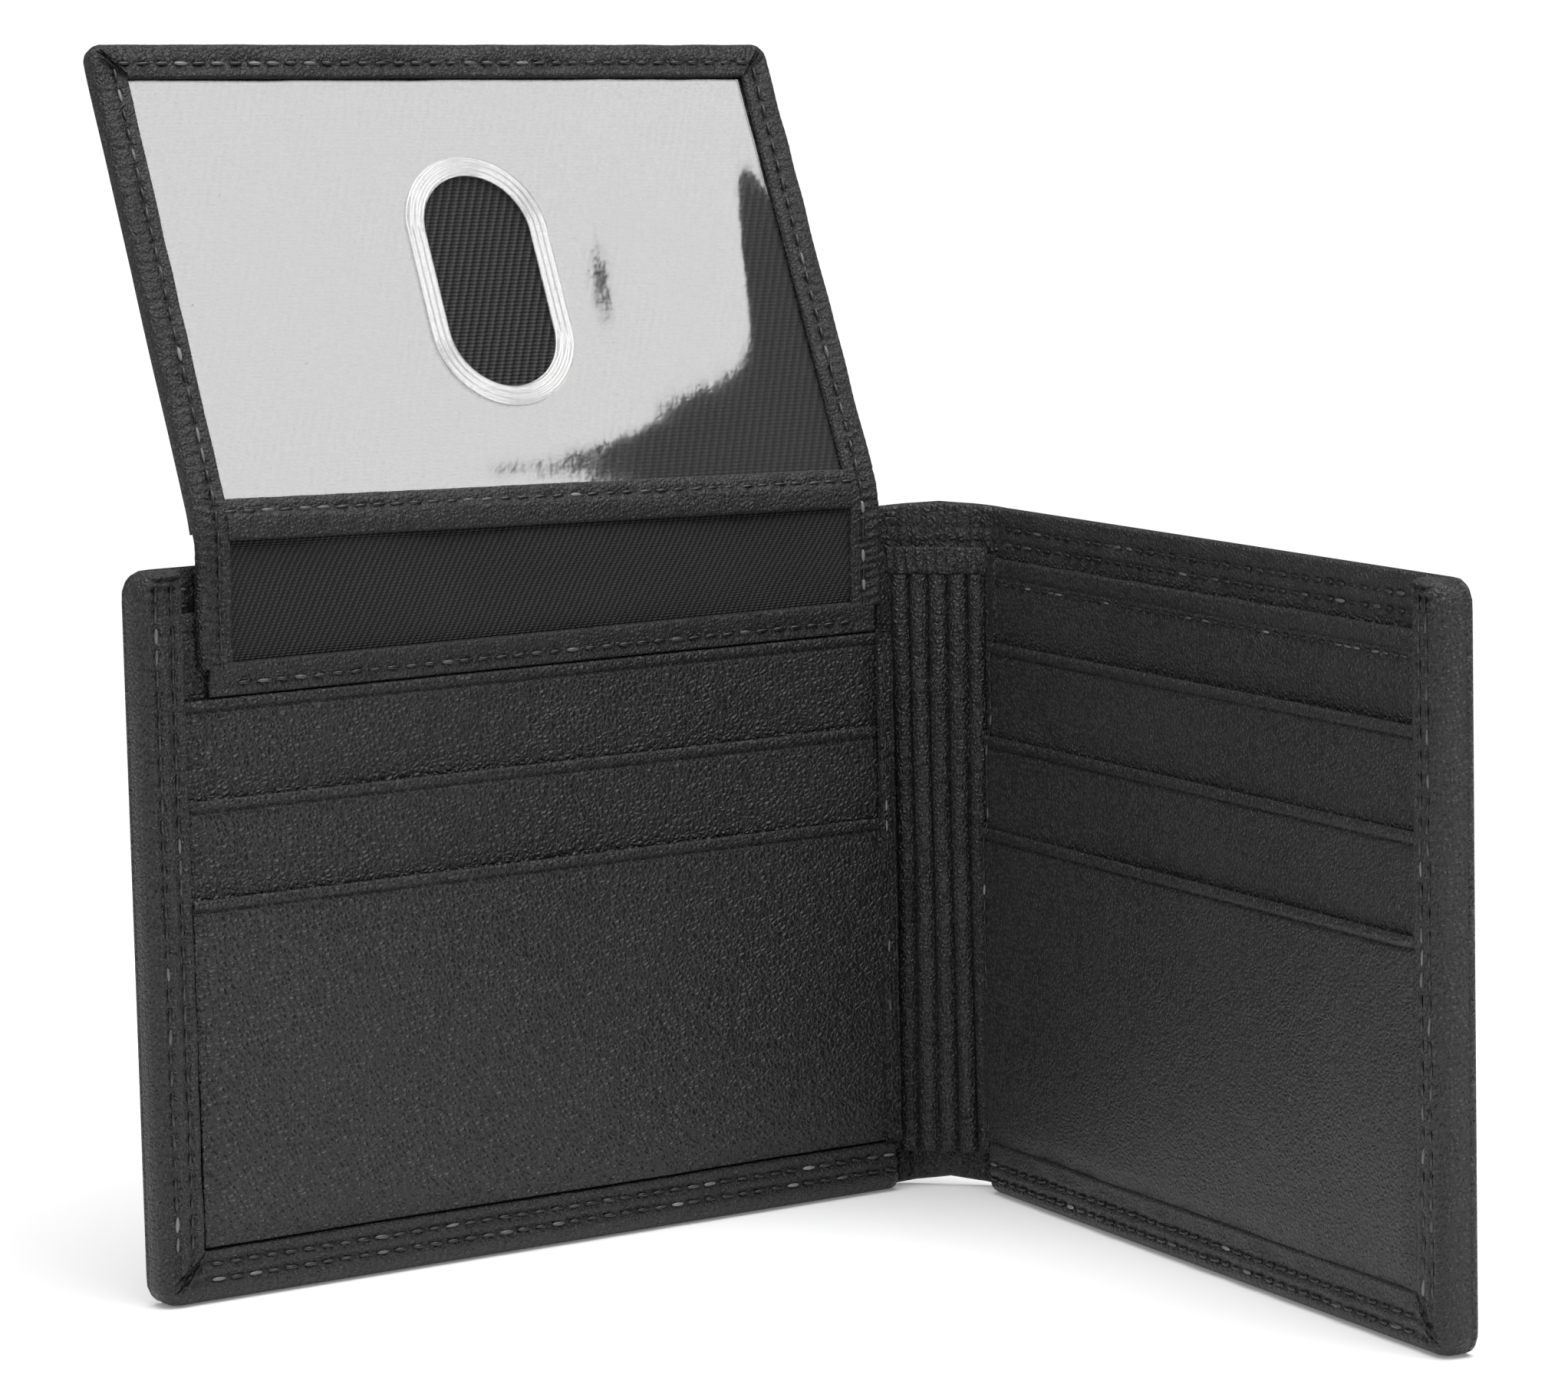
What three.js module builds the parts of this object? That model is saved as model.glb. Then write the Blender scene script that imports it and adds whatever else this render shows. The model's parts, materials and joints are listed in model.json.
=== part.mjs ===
// A leather billfold with a ribbed spine, three card pockets on each side, and an ID wing that
// folds down over the left pockets. It stands on its lower edges, opened to a V, wing up.
// Millimetres, +Z up. The covers meet at the spine at the back, and the V opens towards -Y.
// Each panel is drawn in its own frame: u runs from the crease to the outer edge, n from the
// crease plane towards the inside of the wallet, z up.
import * as THREE from 'three';

// ---- driving dimensions ----
const HEIGHT = 89;            // of both covers
const PANEL = 110;            // crease to outer edge
const SPINE = 14.4;           // crease to crease
const FOLD = 48.7;            // each panel's angle from lying flat, in degrees
const GAP = 0.25;             // clearance between neighbouring layers
const BORDER = 6;             // width of the turned side edges
const BOTTOM_BORDER = 6.6;    // height of the turned bottom edges
const CORNER = 3;             // radius of the covers' outer corners
const HEM = 6.2;              // depth of the hem inside the top of the covers
const LIPS = [73.1, 61.1, 49.2];    // heights of the pocket mouths, top to bottom
const RIGHT_DROP = 1.2;       // the right pockets sit lower by this much
const POCKET_START = 2;       // pocket layers start this far from the crease

// Layers of a panel, outermost first: [back face, front face] along n.
const LAYER = {
  cover: [-1.3, -0.6], board: [-0.35, -0.05], lining: [0.2, 0.45], divider: [0.75, 1.15],
  backing: [1.4, 1.6], upper: [1.85, 2.25], middle: [2.5, 2.9], front: [3.15, 3.6],
};
const EDGE_FRONT = 3.5;       // front face of the turned edges
const THREAD = 0.45;          // thread thickness

// ---- ID wing ----
const WING_WIDTH = 98.6;
const WING_LENGTH = 64;       // above the bend
const WING_CENTRE = 51.8;     // along u, at the fold
const WING_FRAME = 4.6;       // width of the leather frame round the window
const WING_LEAN = 25.3;       // how far it leans back, in degrees
const WING_SKEW = 1.6;        // how far it sits askew in its own plane, in degrees
const NECK_N = 1.55;          // middle of the twill neck along n
const FOLD_Z = 83.6;          // height of the fold line
const NECK_LENGTH = 7.8;      // fold line to bend line
const TRIM = 4;               // height of the strip under the window
const THUMB = { long: 28.7, wide: 15, rim: 2.2 };    // thumb hole, and its welded rim

// ---- materials ----
const finish = (color, roughness, extra = {}) =>
  () => new THREE.MeshStandardMaterial({ color, roughness, metalness: 0, ...extra });
const grainLeather = finish(0x2b2b2c, 0.5);
const softLeather = finish(0x303031, 0.45);
const twill = finish(0x232324, 0.85);
const satin = finish(0x1c1c1e, 0.6);
const boardStock = finish(0x8a8074, 0.9);
const threadStock = finish(0x161617, 0.55);
const clearVinyl = finish(0xdfe3e6, 0.12, { transparent: true, opacity: 0.4 });

// ---- helpers ----
const rad = THREE.MathUtils.degToRad;
const X = new THREE.Vector3(1, 0, 0);
const Y = new THREE.Vector3(0, 1, 0);
const Z = new THREE.Vector3(0, 0, 1);

function mesh(group, name, geometry, material) {
  const piece = new THREE.Mesh(geometry, material());
  piece.name = name;
  group.add(piece);
  return piece;
}

// A straight slab between two values on each axis.
function slab(group, name, [x0, x1], [y0, y1], [z0, z1], material) {
  const geometry = new THREE.BoxGeometry(x1 - x0, Math.abs(y1 - y0), z1 - z0);
  geometry.translate((x0 + x1) / 2, (y0 + y1) / 2, (z0 + z1) / 2);
  return mesh(group, name, geometry, material);
}

// An outline swept along one axis from start to end: 'x', 'y' or 'z'.
// The outline is drawn in (y, z) for x, in (x, z) for y and in (x, y) for z.
function swept(shape, axis, start, end) {
  const geometry = new THREE.ExtrudeGeometry(shape, {
    depth: end - start, bevelEnabled: false, curveSegments: 6,
  });
  geometry.translate(0, 0, axis === 'y' ? -end : start);
  const basis = new THREE.Matrix4();
  if (axis === 'x') basis.makeBasis(Y, Z, X);
  if (axis === 'y') basis.makeBasis(X, Z, Y.clone().negate());
  return geometry.applyMatrix4(basis);
}

// A slab whose lower and upper edges slope: each is a height as a function of x.
function slopedSlab(group, name, [x0, x1], [y0, y1], lower, upper, material) {
  const outline = new THREE.Shape([[x0, lower(x0)], [x1, lower(x1)], [x1, upper(x1)],
    [x0, upper(x0)]].map(([x, z]) => new THREE.Vector2(x, z)));
  return mesh(group, name, swept(outline, 'y', y0, y1), material);
}

function roundedRectangle(x0, x1, z0, z1, radius, corners = [1, 1, 1, 1]) {
  const [a, b, c, d] = corners.map((on) => (on ? radius : 0));
  const shape = new THREE.Shape();
  shape.moveTo(x0 + a, z0);
  shape.lineTo(x1 - b, z0);
  if (b) shape.absarc(x1 - b, z0 + b, b, -Math.PI / 2, 0);
  shape.lineTo(x1, z1 - c);
  if (c) shape.absarc(x1 - c, z1 - c, c, 0, Math.PI / 2);
  shape.lineTo(x0 + d, z1);
  if (d) shape.absarc(x0 + d, z1 - d, d, Math.PI / 2, Math.PI);
  shape.lineTo(x0, z0 + a);
  if (a) shape.absarc(x0 + a, z0 + a, a, Math.PI, Math.PI * 1.5);
  return shape;
}

// Outline of a turned edge: a flat lip over the pockets, and a wall that wraps round to the cover.
// across runs from the lip's free edge to the outside, and side is the sign of n.
function turnedEdge(free, outside, side, flip = false) {
  const out = Math.sign(outside - free);
  const [back, seat] = [LAYER.board[0], LAYER.divider[0]];
  const wall = outside - out * 1.6;
  const round = 2;
  const points = [[free, seat], [free, EDGE_FRONT], [outside - out * round, EDGE_FRONT - 0.2]];
  for (let i = 1; i <= 4; i++) {
    const angle = (i / 4) * Math.PI / 2;
    points.push([outside - out * round * (1 - Math.sin(angle)),
      EDGE_FRONT - 0.2 - round * (1 - Math.cos(angle))]);
  }
  points.push([outside, back], [wall, back], [wall, seat]);
  return new THREE.Shape(points.map(([across, n]) => (
    flip ? new THREE.Vector2(n * side, across) : new THREE.Vector2(across, n * side))));
}

// A seam's thread, as one ribbon that follows a path in the (x, z) plane.
function threadSeam(group, name, path, [y0, y1]) {
  const at = path.map(([x, z]) => new THREE.Vector2(x, z));
  const offset = (sign) => at.map((point, i) => {
    const before = point.clone().sub(at[Math.max(i - 1, 0)]).normalize();
    const after = at[Math.min(i + 1, at.length - 1)].clone().sub(point).normalize();
    const normals = [before, after].filter((way) => way.lengthSq() > 0)
      .map((way) => new THREE.Vector2(-way.y, way.x));
    const mitre = normals.reduce((sum, way) => sum.add(way), new THREE.Vector2()).normalize();
    return point.clone().addScaledVector(mitre, (sign * THREAD) / 2 / mitre.dot(normals[0]));
  });
  const outline = new THREE.Shape([...offset(1), ...offset(-1).reverse()]);
  return mesh(group, name, swept(outline, 'y', y0, y1), threadStock);
}

// Two parallel rows of one seam, as a path down one row and back up the other.
const twinRows = ([a, b], [start, end]) => [[start, a], [end, a], [end, b], [start, b]];
const upright = (path) => path.map(([along, across]) => [across, along]);

// ---- one panel's shell: cover, board, lining, turned edges and top hem ----
function panelShell(panel, label, side) {
  const span = ([a, b]) => (side > 0 ? [a, b] : [-b, -a]);
  const inner = PANEL - BORDER;
  const wallInside = PANEL - 1.6 - GAP;
  const name = (part) => `${label}_${part}`;

  const outline = roundedRectangle(0.3, PANEL, 0, HEIGHT, CORNER, [0, 1, 1, 0]);
  mesh(panel, name('cover'), swept(outline, 'y', ...span(LAYER.cover)), grainLeather);
  slab(panel, name('board'), [3, wallInside], span(LAYER.board),
    [1.6 + GAP, HEIGHT - HEM - GAP], boardStock);
  slab(panel, name('bill_lining'), [0.8, wallInside], span(LAYER.lining),
    [1.6 + GAP, HEIGHT - HEM - GAP], satin);
  mesh(panel, name('side_edge'), swept(turnedEdge(inner, PANEL, side), 'z', 0.4, HEIGHT - 0.4),
    grainLeather);
  mesh(panel, name('bottom_edge'),
    swept(turnedEdge(BOTTOM_BORDER, 0, side, true), 'x', POCKET_START, inner - GAP), grainLeather);
  slab(panel, name('top_hem'), [0.8, wallInside], span([LAYER.board[0], LAYER.lining[1]]),
    [HEIGHT - HEM, HEIGHT], grainLeather);
}

// ---- one panel's card pockets ----
function panelPockets(panel, label, side, drop, dividerTop, leather) {
  const span = ([a, b]) => (side > 0 ? [a, b] : [-b, -a]);
  const across = [POCKET_START, PANEL - BORDER - GAP];
  const foot = BOTTOM_BORDER + GAP;
  const name = (part) => `${label}_${part}`;

  slab(panel, name('divider'), across, span(LAYER.divider), [foot, dividerTop], leather);
  slab(panel, name('pocket_backing'), [across[0] + 1, across[1] - 1], span(LAYER.backing),
    [foot + 2, LIPS[0] - drop - 1.5], satin);
  ['upper', 'middle', 'front'].forEach((row, i) => {
    const bottom = row === 'front' ? foot : LIPS[i] - drop - 21;
    slab(panel, name(`pocket_${row}`), across, span(LAYER[row]), [bottom, LIPS[i] - drop], leather);
  });
}

// ---- thread along a panel's edges ----
function panelThread(panel, label, side, columns, rows) {
  const span = ([a, b]) => (side > 0 ? [a, b] : [-b, -a]);
  const proud = span([EDGE_FRONT + GAP, EDGE_FRONT + GAP + THREAD]);
  const along = [POCKET_START + 1, PANEL - BORDER - 1];
  threadSeam(panel, `${label}_side_stitching`, upright(twinRows(columns, [5, HEIGHT - 5])), proud);
  threadSeam(panel, `${label}_bottom_stitching`, twinRows(rows, along), proud);
  threadSeam(panel, `${label}_hem_stitching`, twinRows([HEIGHT - 4.9, HEIGHT - 3], along),
    span([LAYER.lining[1] + 0.1, LAYER.lining[1] + 0.2]));
}

// ---- spine: cover, lining, hems and the ribbed gusset in front of them ----
function spine(group) {
  const half = SPINE / 2;
  const raised = 1.2;    // the spine bows up a little off the table
  slab(group, 'spine_cover', [-half + 0.2, half - 0.2], [0.6, 1.3], [raised, HEIGHT + 0.6],
    grainLeather);
  slab(group, 'spine_lining', [-half + 0.6, half - 0.6], [0.1, 0.35],
    [raised + 5.3, HEIGHT - HEM - GAP], satin);
  slab(group, 'spine_top_hem', [-half + 0.6, half - 0.6], [-0.3, 0.35], [HEIGHT - HEM, HEIGHT + 0.4],
    grainLeather);
  slab(group, 'spine_bottom_hem', [-half + 0.6, half - 0.6], [-0.3, 0.35], [raised, raised + 5],
    grainLeather);
  mesh(group, 'ribbed_gusset', swept(ribbedOutline(), 'z', 4.8, 80.4), softLeather);
  slab(group, 'gusset_top_band', [-6.3, 6.3], [-1.5, -0.6], [80.65, 83.4], softLeather);
}

// Cross-section of the gusset: a sheet with five half-round ribs towards the inside.
function ribbedOutline() {
  const ribs = 5;
  const pitch = 2.5;
  const radius = 0.9;
  const sheet = [-0.85, -0.6];
  const half = (ribs * pitch) / 2;
  const shape = new THREE.Shape();
  shape.moveTo(-half, sheet[1]);
  shape.lineTo(-half, sheet[0]);
  for (let i = 0; i < ribs; i++) {
    const centre = -half + (i + 0.5) * pitch;
    shape.lineTo(centre - radius, sheet[0]);
    shape.absarc(centre, sheet[0], radius, Math.PI, 2 * Math.PI, false);
  }
  shape.lineTo(half, sheet[0]);
  shape.lineTo(half, sheet[1]);
  shape.closePath();
  return shape;
}

// ---- where the wing is sewn to the left panel ----
// The fold line slopes by half the wing's skew, so that the wing hangs square once folded down.
const foldSlope = Math.tan(rad(WING_SKEW / 2));

function wingAnchor(panel) {
  const [u0, u1] = [WING_CENTRE - WING_WIDTH / 2, WING_CENTRE + WING_WIDTH / 2];
  const inside = [u0 + WING_FRAME + GAP, u1 - WING_FRAME - GAP];
  const back = NECK_N - 0.15;
  const seat = () => LIPS[0] + 0.3;
  const fold = (u) => FOLD_Z - 0.3 + (u - WING_CENTRE) * foldSlope;
  slopedSlab(panel, 'anchor_twill', inside, [back, NECK_N + 0.15], seat, fold, twill);
  slopedSlab(panel, 'anchor_outer_binding', [u1 - WING_FRAME, u1], [back, NECK_N + 0.8], seat, fold,
    grainLeather);
  slopedSlab(panel, 'anchor_inner_binding', [u0, u0 + WING_FRAME], [back, NECK_N + 0.8], seat, fold,
    grainLeather);
  slab(panel, 'anchor_strip', inside, [1.95, 2.35], [seat(), LIPS[0] + 4.2], grainLeather);
  threadSeam(panel, 'anchor_stitching', [[u0 + 6, LIPS[0] + 2.3], [u1 - 6, LIPS[0] + 2.3]],
    [2.35 + GAP, 2.35 + GAP + THREAD]);
  slab(panel, 'left_pocket_side_strip', [POCKET_START, POCKET_START + 2.2],
    [LAYER.front[1] + GAP, LAYER.front[1] + GAP + 0.35], [BOTTOM_BORDER + 1, LIPS[0] + 0.4],
    grainLeather);
}

// ---- the neck between the fold and the bend ----
function wingNeck(neck) {
  const half = WING_WIDTH / 2;
  const fold = (x) => 0.3 - x * foldSlope;
  const bend = () => NECK_LENGTH - 0.3;
  slopedSlab(neck, 'neck_twill', [-half + WING_FRAME + GAP, half - WING_FRAME - GAP],
    [-0.15, 0.15], fold, bend, twill);
  slopedSlab(neck, 'neck_outer_binding', [half - WING_FRAME, half], [-0.15, 0.8], fold, bend,
    grainLeather);
  slopedSlab(neck, 'neck_inner_binding', [-half, -half + WING_FRAME], [-0.15, 0.8], fold, bend,
    grainLeather);
}

// A slot with round ends, standing upright.
function stadium(centreZ, long, wide, target = new THREE.Shape()) {
  const radius = wide / 2;
  const straight = long / 2 - radius;
  target.absarc(0, centreZ + straight, radius, 0, Math.PI);
  target.absarc(0, centreZ - straight, radius, Math.PI, 2 * Math.PI);
  target.closePath();
  return target;
}

// ---- the wing itself: back leather, twill, clear window and its leather frame ----
function wing(group) {
  const half = WING_WIDTH / 2;
  const [foot, top] = [0.3, WING_LENGTH];
  const lip = [0.7, 1.2];
  const windowMiddle = (TRIM + top - WING_FRAME) / 2;

  const outline = roundedRectangle(-half, half, foot, top, 2, [0, 0, 1, 1]);
  mesh(group, 'wing_back', swept(outline, 'y', -1.2, -0.6), grainLeather);
  slab(group, 'wing_twill', [-half + 1.6, half - 1.6], [-0.35, -0.05], [foot, top - 1.6], twill);

  const sheet = roundedRectangle(-half + 1.6, half - 1.6, 1.2, top - 1.6, 1);
  sheet.holes.push(stadium(windowMiddle, THUMB.long, THUMB.wide, new THREE.Path()));
  mesh(group, 'id_window', swept(sheet, 'y', 0.2, 0.45), clearVinyl);
  const rim = stadium(windowMiddle, THUMB.long + 2 * THUMB.rim, THUMB.wide + 2 * THUMB.rim);
  rim.holes.push(stadium(windowMiddle, THUMB.long, THUMB.wide, new THREE.Path()));
  mesh(group, 'thumb_hole_rim', swept(rim, 'y', 0.7, 1.1), clearVinyl);

  for (const [label, side] of [['inner', -1], ['outer', 1]]) {
    const edge = new THREE.Shape([[half, -0.35], [half, lip[1]], [half - WING_FRAME, lip[1]],
      [half - WING_FRAME, lip[0]], [half - 1.3, lip[0]], [half - 1.3, -0.35]]
      .map(([x, y]) => new THREE.Vector2(x * side, y)));
    mesh(group, `wing_${label}_edge`, swept(edge, 'z', foot, top), grainLeather);
  }
  const across = [-half + WING_FRAME + GAP, half - WING_FRAME - GAP];
  const topEdge = new THREE.Shape([[-0.35, top], [lip[1], top], [lip[1], top - WING_FRAME],
    [lip[0], top - WING_FRAME], [lip[0], top - 1.3], [-0.35, top - 1.3]]
    .map(([y, z]) => new THREE.Vector2(y, z)));
  mesh(group, 'wing_top_edge', swept(topEdge, 'x', ...across), grainLeather);
  slab(group, 'window_trim', across, lip, [foot, TRIM], grainLeather);

  const proud = [lip[1] + GAP, lip[1] + GAP + THREAD];
  const seam = WING_FRAME * 0.65;
  threadSeam(group, 'wing_stitching', [[-half + seam, 3], [-half + seam, top - seam],
    [half - seam, top - seam], [half - seam, 3]], proud);
  threadSeam(group, 'trim_stitching', [[across[0], 2.8], [across[1], 2.8]], proud);
}

// ---- assembly ----
function panelGroup(side) {
  const group = new THREE.Group();
  group.position.set((side * SPINE) / 2, 0, 0);
  group.rotation.z = side < 0 ? rad(180 + FOLD) : rad(-FOLD);
  return group;
}

const billfold = new THREE.Group();
spine(billfold);

const left = panelGroup(-1);
panelShell(left, 'left', 1);
panelPockets(left, 'left', 1, 0, FOLD_Z, grainLeather);
panelThread(left, 'left', 1, [105.6, 107.7], [3.2, 4.7]);
wingAnchor(left);
billfold.add(left);

const right = panelGroup(1);
panelShell(right, 'right', -1);
panelPockets(right, 'right', -1, RIGHT_DROP, 82.6, softLeather);
panelThread(right, 'right', -1, [105.6, 106.9], [2, 3.9]);
billfold.add(right);

const neck = new THREE.Group();
neck.position.set(WING_CENTRE, NECK_N, FOLD_Z);
neck.rotation.y = rad(-WING_SKEW);
wingNeck(neck);
left.add(neck);

const wingGroup = new THREE.Group();
wingGroup.position.set(0, 0, NECK_LENGTH);
wingGroup.rotation.x = rad(WING_LEAN);
wing(wingGroup);
neck.add(wingGroup);

// The origin is the middle of the footprint, on the table.
billfold.updateMatrixWorld(true);
const box = new THREE.Box3().setFromObject(billfold, true);
billfold.position.x = -(box.min.x + box.max.x) / 2;
billfold.position.y = -(box.min.y + box.max.y) / 2;

export default billfold;
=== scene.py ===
"""A black leather billfold with an ID wing, standing open in a V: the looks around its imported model.

Every length of the wallet is in millimetres in a local frame of one of its parts, and only the
last step of a mesh turns it into metres in the model's own frame. The lights are placed in metres.
"""
import json
import math

import bmesh
import bpy
import numpy as np
from mathutils import Matrix, Vector


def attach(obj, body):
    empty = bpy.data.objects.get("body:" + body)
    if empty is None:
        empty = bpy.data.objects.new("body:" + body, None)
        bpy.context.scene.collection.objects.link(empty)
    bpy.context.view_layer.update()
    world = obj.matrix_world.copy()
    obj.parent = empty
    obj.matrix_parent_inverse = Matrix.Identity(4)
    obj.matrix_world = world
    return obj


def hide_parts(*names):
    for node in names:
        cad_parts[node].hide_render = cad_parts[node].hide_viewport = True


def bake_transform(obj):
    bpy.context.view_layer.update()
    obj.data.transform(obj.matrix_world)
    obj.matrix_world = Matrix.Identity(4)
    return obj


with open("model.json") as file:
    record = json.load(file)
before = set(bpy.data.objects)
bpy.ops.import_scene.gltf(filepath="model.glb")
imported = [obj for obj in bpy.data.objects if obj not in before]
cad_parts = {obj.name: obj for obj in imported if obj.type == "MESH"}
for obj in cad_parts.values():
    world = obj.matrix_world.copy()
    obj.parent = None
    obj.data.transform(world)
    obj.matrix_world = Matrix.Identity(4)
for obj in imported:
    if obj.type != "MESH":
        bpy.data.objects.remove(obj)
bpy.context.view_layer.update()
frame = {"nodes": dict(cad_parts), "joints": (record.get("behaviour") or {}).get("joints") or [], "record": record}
MM = 0.001
TAU = 2 * math.pi

# ---- sizes ----
COVER_CORNER = 3.0           # radius of the covers' outer corners
CREASE_END = 3.2             # each cover is flat from this far beside its hinge
CREASE_REACH = 2.6           # and the leather bends over this much on each side of the hinge
HEM_SEAMS = (2.6, 4.6)       # the top hem's two seams, below its edge
SIDE_BORDER = 6.0            # width of the turned side edges
RIGHT_FOOT = 6.95            # height of the right panel's bottom border, to its front pocket
EDGE_TOP = 3.75              # how far the turned edges' crown stands out of the crease plane
LIP_FOOT = 0.8               # and where their free lip rests
GUSSET_GAP = 0.05            # pieces may reach this far over their packed ends at the gusset
FLAP_START = 5.6             # the gusset's plain flaps start this far from the spine's middle
FLAP_HEIGHTS = (5.0, 83.0)   # and run between these heights
LIP_TURN = 1.5               # width of a pocket's turned lip, down to its pressed line
HEM_TURN = 2.4               # width of the divider's turned hem
DIVIDER_SEAM = 3.2           # and the seam that holds it, below the divider's top
PITCH = 2.55                 # from one stitch to the next
WING_CORNER = 2.0            # radius of the wing's upper corners
WING_BORDER = 4.6            # width of the wing's leather frame
WING_SEAM = 0.62             # its seam, as a share of that width from the outer edge
FILM = (0.2, 0.42)           # back and front of the window's film, out of the strap's twill
RIM = 2.6                    # width of the welded rim round the thumb hole
STRAP_START = -10.4          # the wing's strap starts this far below its fold
ANCHOR_START = -7.0          # and its leather bindings this far
NECK = 7.8                   # fold to bend
BEND_REACH = 4.0             # the bend is spread over this much of the strap on each side of it
FOLD_REACH = 3.8             # and the fold over this much
NECK_MIDDLE = 3.9            # where the strap's two bending halves meet
WING_START = 12.0            # from here on the strap is the flat wing
SHARP_ANGLE = 48             # edges that turn more than this many degrees stay sharp


# ---- local frames ----
class Place:
    """A local frame: x along, y out of the surface, z up, in millimetres from its origin."""

    def __init__(self, origin, along, out, up):
        self.origin = np.array(origin, float)
        self.axes = np.array([along, out, up], float)

    def put(self, points):
        """Local points in millimetres as points of the model's frame in metres."""
        return self.origin + (np.asarray(points, float) * MM) @ self.axes

    def span(self, name):
        """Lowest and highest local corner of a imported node, in millimetres."""
        corners = np.array([v.co for v in frame["nodes"][name].data.vertices], float)
        local = (corners - self.origin) @ self.axes.T / MM
        return local.min(0), local.max(0)


joints = {joint["name"]: joint for joint in frame["joints"]}
mounts = {mount["name"]: mount for mount in frame["record"]["mounts"]}
UP = np.array([0.0, 0.0, 1.0])


def panel_place(side, turn):
    """A panel's frame, from its hinge: y out of its inside. turn sets which way x runs."""
    out = -np.array(mounts[f"{side}_cover_face"]["axis"], float)
    return Place(joints[f"{side}_fold"]["pos_m"], turn * np.cross(out, UP), out, UP)


def largest_face_normal(name):
    faces = frame["nodes"][name].data.polygons
    return np.array(max(faces, key=lambda face: face.area).normal, float)


LEFT = panel_place("left", 1)
RIGHT = panel_place("right", -1)
hinge_middle = (LEFT.origin + RIGHT.origin) / 2
SPINE = Place(hinge_middle, [1, 0, 0], [0, -1, 0], UP)

wing_across = -np.array(joints["wing_bend"]["axis"], float)
wing_out = largest_face_normal("wing_back")
wing_out *= np.sign(wing_out @ LEFT.axes[1])
wing_up = np.cross(wing_across, wing_out)
neck_up = np.cross(wing_across, LEFT.axes[1])
bend_point = np.array(joints["wing_bend"]["pos_m"], float)
fold_point = bend_point - neck_up * NECK * MM


def ease(value, start, end):
    """0 before start, 1 after end, and a smooth step between them. It falls if end is lower."""
    share = np.clip((value - start) / (end - start), 0, 1)
    return share * share * (3 - 2 * share)


class Strap:
    """The wing and its neck as one strap: x across, y out of the front, z along it from the fold.

    It runs up the left panel, leans a little askew at the fold, and bends back into the wing.
    """

    def put(self, points):
        points = np.asarray(points, float)
        along = points[..., 2:3]
        askew = ease(along, -FOLD_REACH, FOLD_REACH)
        across = LEFT.axes[0] * (1 - askew) + wing_across * askew
        upward = LEFT.axes[2] * (1 - askew) + neck_up * askew
        below = fold_point + upward * np.minimum(along, NECK - BEND_REACH) * MM
        share = np.clip((along - NECK + BEND_REACH) / (2 * BEND_REACH), 0, 1)
        first = fold_point + neck_up * (NECK - BEND_REACH) * MM
        last = bend_point + wing_up * BEND_REACH * MM
        bent = (1 - share) ** 2 * first + 2 * share * (1 - share) * bend_point + share**2 * last
        beyond = wing_up * np.maximum(along - NECK - BEND_REACH, 0) * MM
        centre = np.where(share > 0, bent + beyond, below)
        heading = np.where(share > 0, (1 - share) * neck_up + share * wing_up, upward)
        out = np.cross(heading, across)
        out /= np.linalg.norm(out, axis=-1, keepdims=True)
        return centre + across * points[..., 0:1] * MM + out * points[..., 1:2] * MM


STRAP = Strap()
WING = Place(bend_point, wing_across, wing_out, wing_up)
wing_low, wing_high = WING.span("wing_back")
WING_HALF = wing_high[0] + 0.3         # the leather frame stands a little proud of the CAD edge
WING_TOP = NECK + wing_high[2]         # along the strap


# ---- mesh helpers ----
def ripples(x, z, seed, length):
    """Gentle unevenness of about -1 to 1: sine waves of about a length, in seeded directions."""
    waves = 7
    draw = np.random.default_rng(seed)
    total = 0
    for _ in range(waves):
        angle, phase = draw.uniform(0, TAU, 2)
        stretch = length * draw.uniform(0.6, 1.7)
        total = total + np.sin(TAU * (x * math.cos(angle) + z * math.sin(angle)) / stretch + phase)
    return total / math.sqrt(waves)


def lines(start, end, step, edge=0.6, extra=()):
    """Where a grid's lines run: even steps, closer together towards both rounded ends."""
    near = edge * (1 - np.cos(np.linspace(0, math.pi / 2, 6)))
    even = np.linspace(start + edge, end - edge, max(2, int((end - start) / step)))
    values = np.sort(np.concatenate([start + near, even, end - near, np.asarray(extra, float)]))
    keep = np.concatenate([[True], np.diff(values) > 0.015])
    return values[keep]


def drop(depth, radius):
    """How far a face has fallen at some depth inside an edge rounded to a radius."""
    inside = np.clip(radius - depth, 0, radius)
    return radius - np.sqrt(radius**2 - inside**2)


def mesh_object(name, points, faces, material, flat=None):
    """A finished object at the origin, from points in metres. flat is a UV in millimetres / 100."""
    mesh = bpy.data.meshes.new(name)
    mesh.from_pydata([tuple(p) for p in points], [], faces)
    if flat is not None:
        layer = mesh.uv_layers.new(name="UVMap")
        corners = np.empty(len(mesh.loops), int)
        mesh.loops.foreach_get("vertex_index", corners)
        layer.data.foreach_set("uv", (np.asarray(flat, float)[corners] / 100).ravel())
    solid = bmesh.new()
    solid.from_mesh(mesh)
    bmesh.ops.remove_doubles(solid, verts=solid.verts, dist=1e-6)
    bmesh.ops.dissolve_degenerate(solid, edges=solid.edges, dist=1e-7)
    bmesh.ops.recalc_face_normals(solid, faces=solid.faces)
    solid.to_mesh(mesh)
    solid.free()
    mesh.shade_smooth()
    mesh.set_sharp_from_angle(angle=math.radians(SHARP_ANGLE))
    mesh.materials.append(material)
    made = bpy.data.objects.new(name, mesh)
    bpy.context.scene.collection.objects.link(made)
    return made


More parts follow.
